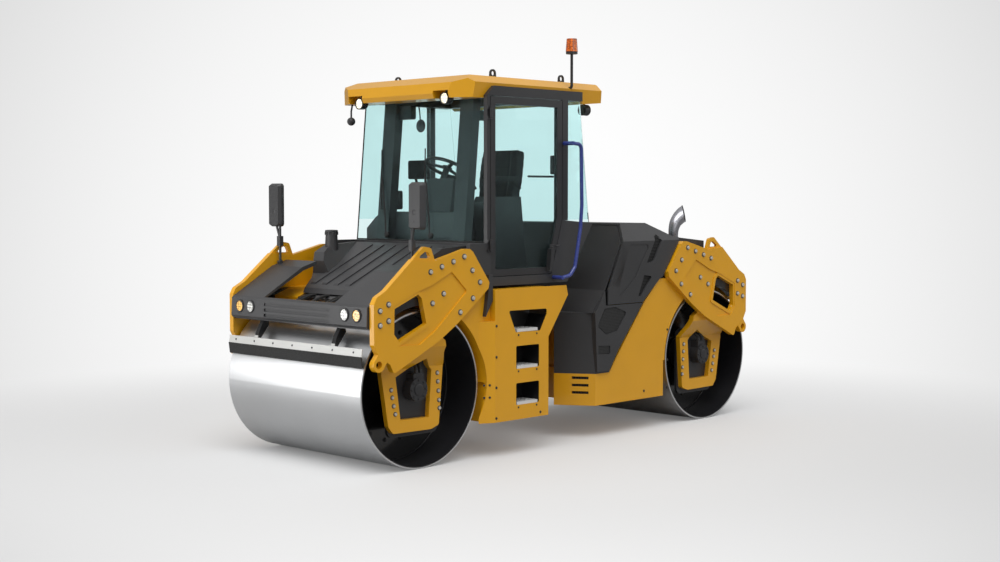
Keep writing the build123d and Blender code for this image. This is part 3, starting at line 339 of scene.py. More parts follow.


# Hollows and undersides where shade is painted near black: middle and half size along X, away from the
# middle plane, and along Z
ladder_well = ((0.73, 0.245), (0.80, 0.075), (0.80, 0.43))
ladder_walls = ((0.73, 0.235), (0.897, 0.0295), (0.80, 0.41))
hose_well = ((2.10, 0.168), (0.22, 0.23), (1.22, 0.12))
yoke_hole = ((2.05, 0.20), (0.82, 0.056), (1.18, 0.22))
beam_under = ((2.33, 0.085), (0, 0.88), (1.118, 0.012))
bracket = ((2.388, 0.055), (0.49, 0.035), (1.04, 0.10))


def turned(box):
    """The same box at the rear."""
    (middle, half), *others = box
    return ((-middle, half), *others)


def yellow_paint(name, shade_boxes=()):
    """The machine's yellow, with painted shade, near black, inside the boxes."""
    return surface(
        name, (0.78, 0.375, 0.006), rough=0.34, mottle=0.035, grain=180.0, relief=0.05, coat=0.35,
        shade_boxes=shade_boxes,
    )


# Finishes
front_paint = yellow_paint("front_yellow", (ladder_well, hose_well, yoke_hole, beam_under))
rear_paint = yellow_paint("rear_yellow", (turned(yoke_hole), turned(beam_under)))
panel_paint = yellow_paint("panel_yellow", (ladder_walls,))
paint = yellow_paint("machine_yellow")
plastic = surface(
    "moulded_black", (0.042, 0.042, 0.044), rough=0.42, mottle=0.10, grain=900.0, relief=0.16,
)
satin_black = surface(
    "frame_black", (0.030, 0.030, 0.032), rough=0.38, mottle=0.12, grain=240.0, relief=0.08,
)
deep_black = surface(
    "inner_black", (0.010, 0.010, 0.011), rough=0.16, mottle=0.2, grain=40.0, relief=0.06, coat=0.5,
)
rubber = surface(
    "rubber_black", (0.020, 0.020, 0.020), rough=0.7, mottle=0.15, grain=400.0, relief=0.25,
)
bright_steel = surface(
    "bright_steel", (0.62, 0.62, 0.63), rough=0.32, metal=1.0, mottle=0.08, grain=300.0, relief=0.12,
)
# The grey strip carries painted shade, near black, at the brackets
strip_paint = surface(
    "strip_grey", (0.58, 0.58, 0.56), rough=0.4, metal=0.2, mottle=0.06, grain=200.0, relief=0.08,
    shade_boxes=(bracket, turned(bracket)),
)
blue_paint = surface(
    "rail_blue", (0.035, 0.055, 0.27), rough=0.3, mottle=0.06, grain=200.0, relief=0.05, coat=0.4,
)
iron = surface(
    "engine_iron", (0.10, 0.10, 0.10), rough=0.6, metal=0.4, mottle=0.2, grain=120.0, relief=0.4,
)
pipe_steel = surface(
    "exhaust_grey", (0.42, 0.42, 0.45), rough=0.34, metal=1.0, mottle=0.10, grain=60.0, relief=0.2,
)
screen_grey = surface(
    "screen_grey", (0.05, 0.055, 0.06), rough=0.12, mottle=0.15, grain=30.0, relief=0.02, coat=0.6,
)
zinc = surface(
    "zinc_bolts", (0.60, 0.58, 0.53), rough=0.38, metal=0.25, mottle=0.06, grain=200.0, relief=0.05,
)
tread_steel = surface(
    "tread_steel", (0.78, 0.78, 0.77), rough=0.36, metal=0.2, mottle=0.06, grain=200.0, relief=0.08,
)
soot = surface(
    "soot_black", (0.012, 0.011, 0.010), rough=0.8, mottle=0.3, grain=160.0, relief=0.2,
)
mirror_face = surface(
    "mirror_face", (0.75, 0.78, 0.80), rough=0.06, metal=1.0, mottle=0.02, grain=8.0, relief=0.01,
)
seat_cloth = cloth_material("seat_fabric", (0.035, 0.035, 0.038))
cab_glass = glass_material("cab_glass", (0.76, 0.93, 0.93))
white_lens = lens_material("lamp_white", (0.95, 0.95, 0.90), glow=0.6)
amber_lens = lens_material("lamp_amber", (1.0, 0.58, 0.16), glow=1.0)
roof_lens = lens_material("roof_lamp_glow", (1.0, 0.93, 0.75), glow=1.6)
orange_lens = lens_material("beacon_orange", (0.95, 0.22, 0.02), glow=0.15)
mesh_black = mesh_material("mesh_black")

panes = ("windscreen", "rear_window", "side_windows", "door_glass")
coats = {
    paint: ("front_yoke_left", "front_yoke_right", "rear_yoke_left", "rear_yoke_right", "cab_roof"),
    panel_paint: ("side_panel_left", "side_panel_right"),
    front_paint: ("front_chassis",),
    rear_paint: ("rear_chassis",),
    satin_black: (
        "front_drum_carriers", "rear_drum_carriers", "cab_frame", "door_frame", "hood_hinges",
        "door_hinges", "beacon_pole", "steering_ram_barrel_left", "steering_ram_barrel_right",
        "roof_eyes", "centre_joint",
    ),
    deep_black: ("front_drum_heads", "rear_drum_heads"),
    plastic: (
        "cab_tub", "front_cover", "rear_cover", "front_light_bar", "rear_light_bar", "engine_cowl",
        "engine_hood", "mirrors", "steering_wheel", "roof_lamps", "steering_console", "seat_base",
    ),
    drum_material("front_drum_steel", axle_x): ("front_drum_shell",),
    drum_material("rear_drum_steel", -axle_x): ("rear_drum_shell",),
    tread_steel: ("ladder_steps",),
    bright_steel: ("steering_ram_rod_left", "steering_ram_rod_right"),
    blue_paint: ("handrail",),
    strip_paint: ("front_scraper_strip", "rear_scraper_strip"),
    rubber: ("front_scraper_blade", "rear_scraper_blade"),
    cab_glass: panes,
    white_lens: ("front_lamps_white",),
    amber_lens: ("front_lamps_amber", "rear_lamps"),
    orange_lens: ("beacon_lens",),
    seat_cloth: ("seat_cushions",),
    iron: ("engine_block",),
    pipe_steel: ("exhaust_pipe",),
}


def soften(thing, width):
    """Small rounded edges, as bending and casting leave them."""
    edge = thing.modifiers.new("edges", "BEVEL")
    edge.width = width
    edge.segments = 2
    edge.limit_method = "ANGLE"
    edge.angle_limit = fold_angle
    edge.harden_normals = True


def dress_nodes():
    """Gives every node of the frame its material, smooth curved faces and soft edges."""
    for coat, names in coats.items():
        for name in names:
            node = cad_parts[name]
            node.data.materials.clear()
            node.data.materials.append(coat)
            for face in node.data.polygons:
                face.use_smooth = True
            if name not in panes:
                soften(node, plate_edge)


# Mesh helpers
def skin(mesh, rings):
    """Closes a form around rings of equally many points; gives back the walls and the last face."""
    sides = len(rings[0])
    walls = []
    for low, high in zip(rings, rings[1:]):
        for step in range(sides):
            after = (step + 1) % sides
            walls.append(mesh.faces.new((low[step], low[after], high[after], high[step])))
    mesh.faces.new(list(reversed(rings[0])))
    return walls + [mesh.faces.new(rings[-1])]


def revolve(mesh, place, axis, profile, sides=16):
    """A turned form on an axis, closed at both ends; the profile lists radius and height."""
    axis = Vector(axis).normalized()
    across = axis.orthogonal().normalized()
    beside = axis.cross(across)
    rings = []
    for radius, height in profile:
        ring = []
        for step in range(sides):
            turn = tau * step / sides
            spoke = across * cos(turn) + beside * sin(turn)
            ring.append(mesh.verts.new(Vector(place) + axis * height + spoke * radius))
        rings.append(ring)
    skin(mesh, rings)


def bolt(mesh, place, axis, size, washers=None):
    """Hexagon head with a chamfered top on a round washer, which may be in a mesh of its own."""
    ring = [(size * 1.45, 0), (size * 1.45, size * 0.2), (size * 1.2, size * 0.26)]
    revolve(mesh if washers is None else washers, place, axis, ring, 20)
    head = [(size, size * 0.2), (size, size * 0.8), (size * 0.82, size), (size * 0.4, size * 1.02)]
    revolve(mesh, place, axis, head, 6)


def circle_y(middle, radius, count, shift=0.0):
    """Points on a circle about an axis along Y, turned by a share of a step."""
    x, y, z = middle
    turns = [tau * (step + shift) / count for step in range(count)]
    return [(x + radius * cos(turn), y, z + radius * sin(turn)) for turn in turns]


def smooth_path(points, steps=8):
    """Points along a rounded line through the given ones."""
    line = [Vector(point) for point in points]
    if len(line) < 3:
        return line
    longer = [line[0] * 2 - line[1]] + line + [line[-1] * 2 - line[-2]]
    path = []
    for a, b, c, d in zip(longer, longer[1:], longer[2:], longer[3:]):
        for step in range(steps):
            t = step / steps
            square = (2 * a - 5 * b + 4 * c - d) * t * t
            cube = (3 * b - a - 3 * c + d) * t**3
            path.append(0.5 * (2 * b + (c - a) * t + square + cube))
    path.append(line[-1])
    return path


def heading(path, index):
    """Direction of a path at one of its points."""
    return (path[min(index + 1, len(path) - 1)] - path[max(index - 1, 0)]).normalized()


def tube(mesh, points, radius, sides=12, steps=8):
    """A round bar or hose along a smooth line."""
    path = smooth_path(points, steps)
    across = (path[1] - path[0]).orthogonal().normalized()
    rings = []
    for index, centre in enumerate(path):
        along = heading(path, index)
        across = (across - along * across.dot(along)).normalized()
        beside = along.cross(across)
        ring = []
        for step in range(sides):
            turn = tau * step / sides
            ring.append(mesh.verts.new(centre + (across * cos(turn) + beside * sin(turn)) * radius))
        rings.append(ring)
    skin(mesh, rings)


def slab(mesh, outline, place, thickness):
    """A flat plate; place turns an outline point and a depth into a point in space."""
    low = [mesh.verts.new(place(a, b, 0.0)) for a, b in outline]
    high = [mesh.verts.new(place(a, b, thickness)) for a, b in outline]
    skin(mesh, (low, high))


def rounded(width, height, radius, middle=(0, 0), corner=5):
    """Outline of a rectangle with round corners, about its middle."""
    outline = []
    for index, (sx, sy) in enumerate(((1, 1), (-1, 1), (-1, -1), (1, -1))):
        for step in range(corner + 1):
            turn = tau / 4 * (index + step / corner)
            a = sx * (width / 2 - radius) + radius * cos(turn)
            b = sy * (height / 2 - radius) + radius * sin(turn)
            outline.append((middle[0] + a, middle[1] + b))
    return outline


def across_y(y, hand=1):
    """Places an outline in X and Z on a plane across Y, growing away from the machine's middle."""
    return lambda a, b, depth: Vector((a, hand * (y + depth), b))


def across_x(x, grow=1):
    """Places an outline in Y and Z on a plane across X."""
    return lambda a, b, depth: Vector((x + grow * depth, a, b))


def piece(name, mesh, coat, body, edge=0.0):
    """Turns the mesh into a named object with its finish, on its body."""
    bmesh.ops.recalc_face_normals(mesh, faces=mesh.faces)
    data = bpy.data.meshes.new(name)
    mesh.to_mesh(data)
    mesh.free()
    thing = bpy.data.objects.new(name, data)
    bpy.context.scene.collection.objects.link(thing)
    data.materials.append(coat)
    data.shade_smooth()
    data.set_sharp_from_angle(angle=fold_angle)
    if edge:
        soften(thing, edge)
    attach(thing, body)
    return thing


# Places of the small parts of both frames, at the front; the rear ones are the same turned round
face_bolts = (
    (2.34, 1.27), (2.255, 1.315), (2.34, 1.16), (2.255, 1.19), (1.82, 1.546), (1.70, 1.583),
    (1.575, 1.619), (1.455, 1.655), (1.365, 1.543), (1.28, 1.445), (1.36, 1.32), (1.50, 1.215),
)
pocket_bolts = ((1.67, 1.37), (1.79, 1.30))
loop_bolts = (
    (1.607, 0.73), (1.602, 0.66), (1.596, 0.585), (1.59, 0.51), (1.585, 0.445), (2.096, 0.635),
    (2.085, 0.575), (2.071, 0.508), (2.055, 0.443),
)
hose_routes = (
    ((1.86, 0.795, 0.752), (1.86, 0.79, 0.785), (1.845, 0.75, 0.825), (1.83, 0.70, 0.865),
     (1.82, 0.69, 0.93)),
    ((1.81, 0.785, 0.752), (1.81, 0.78, 0.785), (1.80, 0.745, 0.82), (1.79, 0.70, 0.86),
     (1.78, 0.69, 0.93)),
)


def build_yoke_parts():
    """Bolts on the yokes and loops, and the hoses of the drum motors."""
    motor_ring = 0.074
    hose_radius = 0.013
    motor_cap = [(0.046, 0), (0.046, 0.006), (0.038, 0.010), (0.012, 0.010)]
    hose_nut = [(0.019, -0.004), (0.019, 0.012), (0.016, 0.024)]
    hose_sleeve = [(0.018, -0.02), (0.018, 0.02)]
    bolt_rows = (
        (face_bolts, yoke_face, large_bolt),
        (pocket_bolts, yoke_face - pocket_depth, large_bolt),
        (loop_bolts, loop_face, middle_bolt),
    )
    for end, facing, body in ends:
        heads = bmesh.new()
        washers = bmesh.new()
        small = bmesh.new()
        hoses = bmesh.new()
        for hand in hands:
            out = (0, hand, 0)
            for places, face, size in bolt_rows:
                for x, z in places:
                    bolt(heads, (facing * x, hand * face, z), out, size, washers)
            for place in circle_y((facing * axle_x, hand * motor_face, axle_z), motor_ring, 8):
                bolt(small, place, out, small_bolt)
            cap_place = (facing * axle_x, hand * (motor_face - 0.001), axle_z)
            revolve(small, cap_place, out, motor_cap, 28)
            for route in hose_routes:
                points = [(facing * x, hand * y, z) for x, y, z in route]
                tube(hoses, points, hose_radius)
                revolve(small, points[0], up, hose_nut, 6)
                revolve(small, points[-1], up, hose_sleeve, 16)
        piece(f"{end}_yoke_bolts", heads, zinc, body)
        piece(f"{end}_yoke_washers", washers, iron, body)
        piece(f"{end}_motor_fittings", small, satin_black, body)
        piece(f"{end}_motor_hoses", hoses, rubber, body)


def build_drum_ends():
    """Ring of bolts and a weld bead inside each drum end."""
    bolt_ring = 0.43
    weld_ring = 0.596
    weld_place = 0.504
    weld_radius = 0.006
    for end, facing, _ in ends:
        studs = bmesh.new()
        for hand in hands:
            middle = (facing * axle_x, hand * head_face, axle_z)
            for place in circle_y(middle, bolt_ring, 16, 0.5):
                bolt(studs, place, (0, hand, 0), middle_bolt)
            weld = circle_y((facing * axle_x, hand * weld_place, axle_z), weld_ring, 48)
            tube(studs, weld + weld[:1], weld_radius, 6, 1)
        piece(f"{end}_drum_bolts", studs, satin_black, f"{end}_drum")


def build_ladder():
    """Bolts of the stepped panels, of the small cover by the fold, and below the treads."""
    fold_bolts = ((1.099, 1.08), (1.10, 0.826), (1.101, 0.576), (1.102, 0.325), (0.574, 0.325))
    cover_bolts = ((-0.022, 0.60), (0.022, 0.60), (-0.022, 0.50), (0.022, 0.50))
    cover_x, cover_y, cover_lean = 1.18, 0.900, 0.46
    cover_bolt = 0.007
    tread_levels = (1.012, 0.712, 0.412)
    tread_drop = 0.022
    studs = bmesh.new()
    tread_studs = bmesh.new()
    for hand in hands:
        for x, z in fold_bolts:
            bolt(studs, (x, hand * panel_face, z), (0, hand, 0), small_bolt)
        for dx, z in cover_bolts:
            place = (cover_x + dx, hand * (cover_y - cover_lean * dx), z)
            bolt(studs, place, (0.42, hand * 0.91, 0), cover_bolt)
        for z in tread_levels:
            for x in (0.62, 0.84):
                bolt(tread_studs, (x, hand * panel_face, z - tread_drop), (0, hand, 0), tiny_bolt)
    piece("panel_bolts", studs, satin_black, "front_frame")
    piece("tread_bolts", tread_studs, satin_black, "front_frame")


def build_lamps():
    """Rims of the lamps in both bars, and lenses and rims of the roof lamps."""
    bar_rim = [(0.053, 0), (0.053, 0.004), (0.049, 0.007), (0.0425, 0.006), (0.0425, 0)]
    roof_dome = [(0.040, 0), (0.040, 0.003), (0.030, 0.007), (0.012, 0.009)]
    roof_rim = [(0.049, -0.004), (0.049, 0.008), (0.045, 0.010), (0.0405, 0.004), (0.0405, -0.004)]
    roof_places = ((1.3005, 0.533, 2.93, 1), (-0.3305, 0.640, 2.895, -1))
    for end, facing, body in ends:
        rims = bmesh.new()
        for y in (0.600, -0.600, 0.745, -0.745):
            face = (facing * (bar_front - 0.0005), y, lamp_height)
            revolve(rims, face, (facing, 0, 0), bar_rim, 32)
        piece(f"{end}_lamp_rims", rims, plastic, body, 0.0008)
    lenses = bmesh.new()
    rims = bmesh.new()
    for hand in hands:
        for x, y, z, facing in roof_places:
            face = (x, hand * y, z)
            revolve(lenses, face, (facing, 0, 0), roof_dome, 28)
            revolve(rims, face, (facing, 0, 0), roof_rim, 28)
    piece("roof_lamp_lenses", lenses, roof_lens, "front_frame")
    piece("roof_lamp_rims", rims, satin_black, "front_frame")


def build_front_parts():
    """Hoses between cover and beam, the intake's lid, scraper bolts, mirror faces and arms."""
    hose_lines = (
        (-0.33, 0.010), (-0.29, 0.010), (-0.12, 0.013), (0.06, 0.009), (0.10, 0.009), (0.30, 0.012),
    )
    hose_course = (
        (1.955, 0.0, 1.315), (2.02, 0.010, 1.322), (2.10, 0.030, 1.312), (2.20, 0.055, 1.286),
        (2.285, 0.065, 1.250),
    )
    hoses = bmesh.new()
    for start, radius in hose_lines:
        tube(hoses, [(x, start + y, z) for x, y, z in hose_course], radius)
    piece("deck_hoses", hoses, rubber, "front_frame")

    lid_x, lid_y, lid_z = 1.503, -0.676, 1.822
    lid_profile = [(0.046, 0), (0.056, 0.003), (0.057, 0.014), (0.050, 0.020), (0.020, 0.022)]
    rib_ring = 0.0555
    rib_low = 1.80
    lid = bmesh.new()
    revolve(lid, (lid_x, lid_y, lid_z), up, lid_profile, 36)
    for step in range(12):
        turn = tau * step / 12
        place = (lid_x + rib_ring * cos(turn), lid_y + rib_ring * sin(turn), rib_low)
        revolve(lid, place, up, [(0.004, 0), (0.004, 0.024)], 8)
    piece("intake_lid", lid, plastic, "front_frame")

    strip_x, strip_z = 2.456, 0.955
    for end, facing, body in ends:
        studs = bmesh.new()
        for step in range(7):
            place = (facing * strip_x, -0.75 + step * 0.25, strip_z)
            bolt(studs, place, (facing, 0, 0.13), small_bolt)
        piece(f"{end}_scraper_bolts", studs, satin_black, body)

    mirror_y, mirror_z = 0.89, 2.057
    arm_course = (
        (1.935, 0.835, 1.745), (1.94, 0.842, 1.80), (1.946, 0.862, 1.87), (1.955, 0.885, 1.95),
    )
    faces = bmesh.new()
    arms = bmesh.new()
    for hand in hands:
        outline = rounded(0.132, 0.345, 0.022, (hand * mirror_y, mirror_z))
        slab(faces, outline, across_x(1.9078, -1), 0.002)
        tube(arms, [(x, hand * y, z) for x, y, z in arm_course], 0.010)
        clamp = [(0.03, 0), (0.03, 0.009), (0.022, 0.013)]
        revolve(arms, (1.95, hand * 0.887, 2.01), (1, 0, 0), clamp, 24)
    piece("mirror_faces", faces, mirror_face, "front_frame", 0.0006)
    piece("mirror_arms", arms, plastic, "front_frame")


def glass_x(z):
    """Outside of the windscreen at a height."""
    return 1.106 - (z - 1.75) * 0.092


def build_cab_outside():
    """Wipers, windscreen bead, door latch and the door's inner handle."""
    pivot_z, elbow_z, grip_z = 1.80, 2.0, 2.28
    blade_levels = (2.02, 2.15, 2.28, 2.41, 2.54)
    lean = -0.10
    wipers = bmesh.new()
    for y in (0.16, -0.40):
        hub = [(0.026, 0), (0.026, 0.018), (0.018, 0.026)]
        revolve(wipers, (glass_x(pivot_z) - 0.001, y, pivot_z), (1, 0, 0.09), hub, 20)
        arm = [
            (glass_x(pivot_z) + 0.022, y, pivot_z),
            (glass_x(elbow_z) + 0.020, y + lean * 0.35, elbow_z),
            (glass_x(grip_z) + 0.013, y + lean, grip_z),
        ]
        tube(wipers, arm, 0.0065)
        blade = [
            (glass_x(z) + 0.006, y + lean * (1.0 + 0.10 * step), z)
            for step, z in enumerate(blade_levels)
        ]
        tube(wipers, blade, 0.0055, 8)
    piece("wipers", wipers, rubber, "front_frame")

    glass_low, glass_high, glass_half = 1.757, 2.944, 0.80
    bead_radius = 0.006
    bead = bmesh.new()
    low_x, high_x = glass_x(glass_low) + 0.001, glass_x(glass_high) + 0.001
    for x, z in ((low_x, glass_low), (high_x, glass_high)):
        tube(bead, [(x, -glass_half, z), (x, glass_half, z)], bead_radius, 8)
    for y in (-glass_half, glass_half):
        tube(bead, [(low_x, y, glass_low), (high_x, y, glass_high)], bead_radius, 8)
    piece("windscreen_bead", bead, rubber, "front_frame")

    latch = bmesh.new()
    slab(latch, rounded(0.09, 0.05, 0.012, (0.335, 1.70)), across_y(0.8502), 0.010)
    revolve(latch, (0.352, 0.859, 1.70), (0, 1, 0), [(0.012, 0), (0.012, 0.004), (0.009, 0.006)], 20)
    tube(latch, [(0.312, 0.862, 1.71), (0.300, 0.872, 1.712), (0.27, 0.874, 1.716)], 0.007)
    piece("door_latch", latch, satin_black, "door_left", 0.0015)

    grip_level = 2.30
    grip_course = (
        (0.285, 0.81), (0.30, 0.775), (0.36, 0.765), (0.50, 0.765), (0.56, 0.775), (0.575, 0.80),
    )
    handle = bmesh.new()
    tube(handle, [(x, y, grip_level) for x, y in grip_course], 0.009)
    slab(handle, rounded(0.05, 0.16, 0.012, (0.262, 2.40)), across_y(0.770), 0.030)
    piece("door_inner_handle", handle, satin_black, "door_left", 0.002)


def build_cab_inside():
    """Dash panel, monitor, levers, switches, armrests, grab bar, mirror and the wiper motor box."""
    dash_x = 0.962
    dash_outline = [
        (-0.80, 1.752), (0.45, 1.752), (0.42, 1.95), (0.33, 2.0), (-0.58, 2.0), (-0.675, 1.952),
        (-0.80, 1.85),
    ]
    dash = bmesh.new()
    slab(dash, dash_outline, across_x(dash_x), 0.034)
    for y in (-0.45, -0.25, -0.05, 0.22):
        slab(dash, rounded(0.11, 0.045, 0.008, (y, 1.93)), across_x(dash_x, -1), 0.008)
    piece("dash_panel", dash, plastic, "front_frame", 0.004)

    monitor_y = -0.30
    case = bmesh.new()
    slab(case, rounded(0.25, 0.165, 0.018, (monitor_y, 2.365)), across_x(0.80), 0.035)
    neck = [(0.835, -0.30, 2.33), (0.87, -0.28, 2.27), (0.88, -0.20, 2.20), (0.87, -0.11, 2.14)]
    tube(case, neck, 0.012)
    piece("monitor", case, deep_black, "front_frame", 0.003)
    screen = bmesh.new()
    slab(screen, rounded(0.21, 0.125, 0.006, (monitor_y, 2.368)), across_x(0.7995, -1), 0.001)
    piece("monitor_screen", screen, screen_grey, "front_frame")

    knob = [(0.010, 0), (0.020, 0.012), (0.024, 0.035), (0.021, 0.058), (0.012, 0.068)]
    switch = [(0.009, 0), (0.009, 0.006), (0.006, 0.009)]
    rest_half = 0.03
    levers = bmesh.new()
    for y, x in ((0.36, 0.62), (-0.24, 0.62), (-0.30, 0.56)):
        tube(levers, [(x, y, 2.125), (x + 0.01, y, 2.18), (x + 0.035, y, 2.235)], 0.008)
        revolve(levers, (x + 0.033, y, 2.228), (0.4, 0, 1), knob, 20)
    for step in range(6):
        revolve(levers, (0.40 + 0.035 * step, -0.27, 2.1302), up, switch, 14)
    for y in (-0.215, 0.335):
        slab(levers, rounded(0.30, 0.045, 0.018, (0.40, 2.285)), across_y(y - rest_half), 0.06)
        tube(levers, [(0.20, y, 2.20), (0.24, y, 2.235), (0.30, y, 2.262)], 0.013)
    piece("seat_levers", levers, rubber, "front_frame", 0.003)

    grab_course = (
        (1.075, 0.792, 2.35), (1.035, 0.765, 2.365), (1.022, 0.757, 2.42), (1.018, 0.757, 2.68),
        (1.03, 0.765, 2.735), (1.062, 0.792, 2.75),
    )
    mirror_y = -0.70
    mirror_profile = [(0.030, -0.014), (0.058, -0.006), (0.060, 0), (0.056, 0.004)]
    bars = bmesh.new()
    tube(bars, grab_course, 0.012)
    tube(bars, [(0.45, mirror_y, 2.95), (0.44, mirror_y, 2.90), (0.433, mirror_y, 2.83)], 0.006)
    revolve(bars, (0.425, mirror_y, 2.775), (-1, 0, 0), mirror_profile, 32)
    slab(bars, rounded(0.11, 0.165, 0.02, (-0.443, 2.10)), across_x(0.93), 0.045)
    slab(bars, rounded(0.27, 0.12, 0.02, (-0.38, 2.86)), across_x(0.90), 0.06)
    piece("cab_fittings", bars, satin_black, "front_frame", 0.002)


# Openings of the hood and the skirt, as outlines in X and Z
hood_slots = (
    ((-1.034, 1.786), (-1.128, 1.738), (-0.988, 1.535), (-0.862, 1.507)),
    ((-0.846, 1.432), (-0.986, 1.414), (-0.803, 1.220), (-0.748, 1.222)),
)
skirt_openings = (
    ((-0.308, 1.138), (-0.440, 1.145), (-0.582, 1.096), (-0.570, 1.066), (-0.464, 0.944),
     (-0.323, 0.920), (-0.222, 0.989), (-0.222, 1.006)),
    ((-0.221, 0.816), (-0.369, 0.806), (-0.369, 0.744), (-0.221, 0.751)),
)


def punched_sheets(name, outlines, y, thickness, body):
    """Punched sheets behind openings on both sides."""
    sheets = bmesh.new()
    for hand in hands:
        for outline in outlines:
            slab(sheets, outline, across_y(y, hand), thickness)
    piece(name, sheets, mesh_black, body)


def behind_slant(hand):
    """Places an outline behind the slanting plates at the front of the rear frame."""
    start, ahead, beside, set_back = 0.56, 0.542, 0.840, 0.010
    return lambda a, b, depth: Vector((
        -ahead * a - beside * (set_back + depth),
        hand * (start + beside * a - ahead * (set_back + depth)),
        b,
    ))


def build_hood_parts():
    """Sheets behind the openings, bolts and louvre backs of the rear frame, and the pipe's clamp."""
    punched_sheets("hood_sheets", hood_slots, 0.8725, 0.003, "hood")
    punched_sheets("skirt_sheets", skirt_openings, 0.8835, 0.004, "rear_frame")

    studs = bmesh.new()
    for hand in hands:
        for x, z in ((-1.22, 0.36), (-1.22, 0.62), (-1.22, 0.90), (-0.88, 0.36)):
            bolt(studs, (x, hand * rear_side_face, z), (0, hand, 0), small_bolt)
    piece("rear_body_bolts", studs, satin_black, "rear_frame")

    louvre_start, louvre_end, louvre_half = 0.147, 0.318, 0.0125
    backs = bmesh.new()
    for hand in hands:
        for z in (0.535, 0.470, 0.405):
            low, high = z - louvre_half, z + louvre_half
            outline = (
                (louvre_start, low), (louvre_end, low), (louvre_end, high), (louvre_start, high),
            )
            slab(backs, outline, behind_slant(hand), 0.004)
    piece("louvre_backs", backs, mesh_black, "rear_frame")

    band_profile = [(0.0455, 0), (0.050, 0.001), (0.050, 0.019), (0.0455, 0.020)]
    band = bmesh.new()
    revolve(band, (pipe_x, pipe_y, 1.675), up, band_profile, 36)
    bolt(band, (pipe_x, 0.331, 1.685), (1, 0, 0), small_bolt)
    piece("exhaust_clamp", band, bright_steel, "rear_frame")


def build_exhaust():
    """Bent pipe that widens to an oblique hollow mouth, in place of the plain elbow."""
    course = (
        (pipe_x, 1.603), (pipe_x, 1.72), (-2.068, 1.80), (-2.095, 1.865), (-2.140, 1.910),
        (-2.190, 1.942), (-2.236, 1.962),
    )
    radii = (0.045, 0.046, 0.050, 0.058, 0.066, 0.073, 0.079)
    steps = 6
    sides = 40
    wall = 0.004
    inner_steps = 13
    mouth_steps = 18
    mouth_slope = 1.35
    path = smooth_path([(x, pipe_y, z) for x, z in course], steps)
    last = len(path) - 1
    outer = [(index, 0.0) for index in range(len(path))]
    inner = [(index, wall) for index in range(last, last - inner_steps, -1)]
    beside = Vector((0, 1, 0))
    mesh = bmesh.new()
    rings = []
    for index, inset in outer + inner:
        low = min(index // steps, len(radii) - 2)
        share = index / steps - low
        radius = radii[low] * (1 - share) + radii[low + 1] * share - inset
        along = heading(path, index)
        across = along.cross(beside).normalized()
        slope = mouth_slope * max(0.0, (index - last + mouth_steps) / mouth_steps)
        ring = []
        for step in range(sides):
            turn = tau * step / sides
            reach = along * (-slope * radius * sin(turn))
            spoke = (across * cos(turn) + beside * sin(turn)) * radius
            ring.append(mesh.verts.new(path[index] + spoke + reach))
        rings.append(ring)
    for face in skin(mesh, rings)[len(path) * sides:]:
        face.material_index = 1
    flange = [
        (0.046, 0), (0.060, 0.001), (0.060, 0.012), (0.050, 0.016), (0.049, 0.055), (0.046, 0.058),
    ]
    revolve(mesh, (pipe_x, pipe_y, 1.6005), up, flange, sides)
    pipe = piece("exhaust_elbow", mesh, pipe_steel, "rear_frame")
    pipe.data.materials.append(soot)
    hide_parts("exhaust_pipe")


# Seat cushions
def apply_modifiers(thing):
    """Turns the modified shape into the object's own mesh."""
    bpy.context.view_layer.update()
    graph = bpy.context.evaluated_depsgraph_get()
    made = bpy.data.meshes.new_from_object(thing.evaluated_get(graph))
    thing.modifiers.clear()
    thing.data = made


def puff(thing, cap):
    """Cloth simulation that fills the cover, with each point's travel capped, then kept in the mesh."""
    frames = 20
    remesh = thing.modifiers.new("voxels", "REMESH")
    remesh.mode = "VOXEL"
    remesh.voxel_size = 0.009
    apply_modifiers(thing)
    start = [vertex.co.copy() for vertex in thing.data.vertices]
    cloth = thing.modifiers.new("cloth", "CLOTH")
    cloth.settings.use_pressure = True
    cloth.settings.uniform_pressure_force = 4.0
    cloth.settings.effector_weights.gravity = 0.0
    cloth.settings.quality = 4
    cloth.point_cache.frame_start = 1
    cloth.point_cache.frame_end = frames
    for step in range(1, frames + 1):
        bpy.context.scene.frame_set(step)
    apply_modifiers(thing)
    bpy.context.scene.frame_set(1)
    for vertex, rest in zip(thing.data.vertices, start):
        move = vertex.co - rest
        if move.length > cap:
            vertex.co = rest + move.normalized() * cap


def hump(away, width):
    """One on a line, falling smoothly to nothing a few widths away."""
    return exp(-((away / width) ** 2))


def sew(vertex):
    """Draws sewn channels into the cushions and shapes the sides of the back."""
    seam_width = 0.009
    long_seam, cross_seam = 0.009, 0.007
    seam_place = 0.145
    back_start = 2.06
    x, y, z = vertex.co
    across = abs(y - seat_middle)
    depth = long_seam * hump(across - seam_place, seam_width)
    upper = z > back_start
    if across < seam_place:
        height, lines = (z, (2.14, 2.26, 2.38)) if upper else (x, (0.36, 0.50))
        for line in lines:
            depth += cross_seam * hump(height - line, seam_width)
    if upper:
        if vertex.normal.x > 0.5:
            vertex.co.x -= depth
        pull = 0.10 * max(0.0, (z - 2.40) / 0.15) ** 2 + 0.09 * hump(z - 2.16, 0.07)
        vertex.co.y = seat_middle + (y - seat_middle) * (1.0 - pull)
    elif vertex.normal.z > 0.5:
        vertex.co.z -= depth


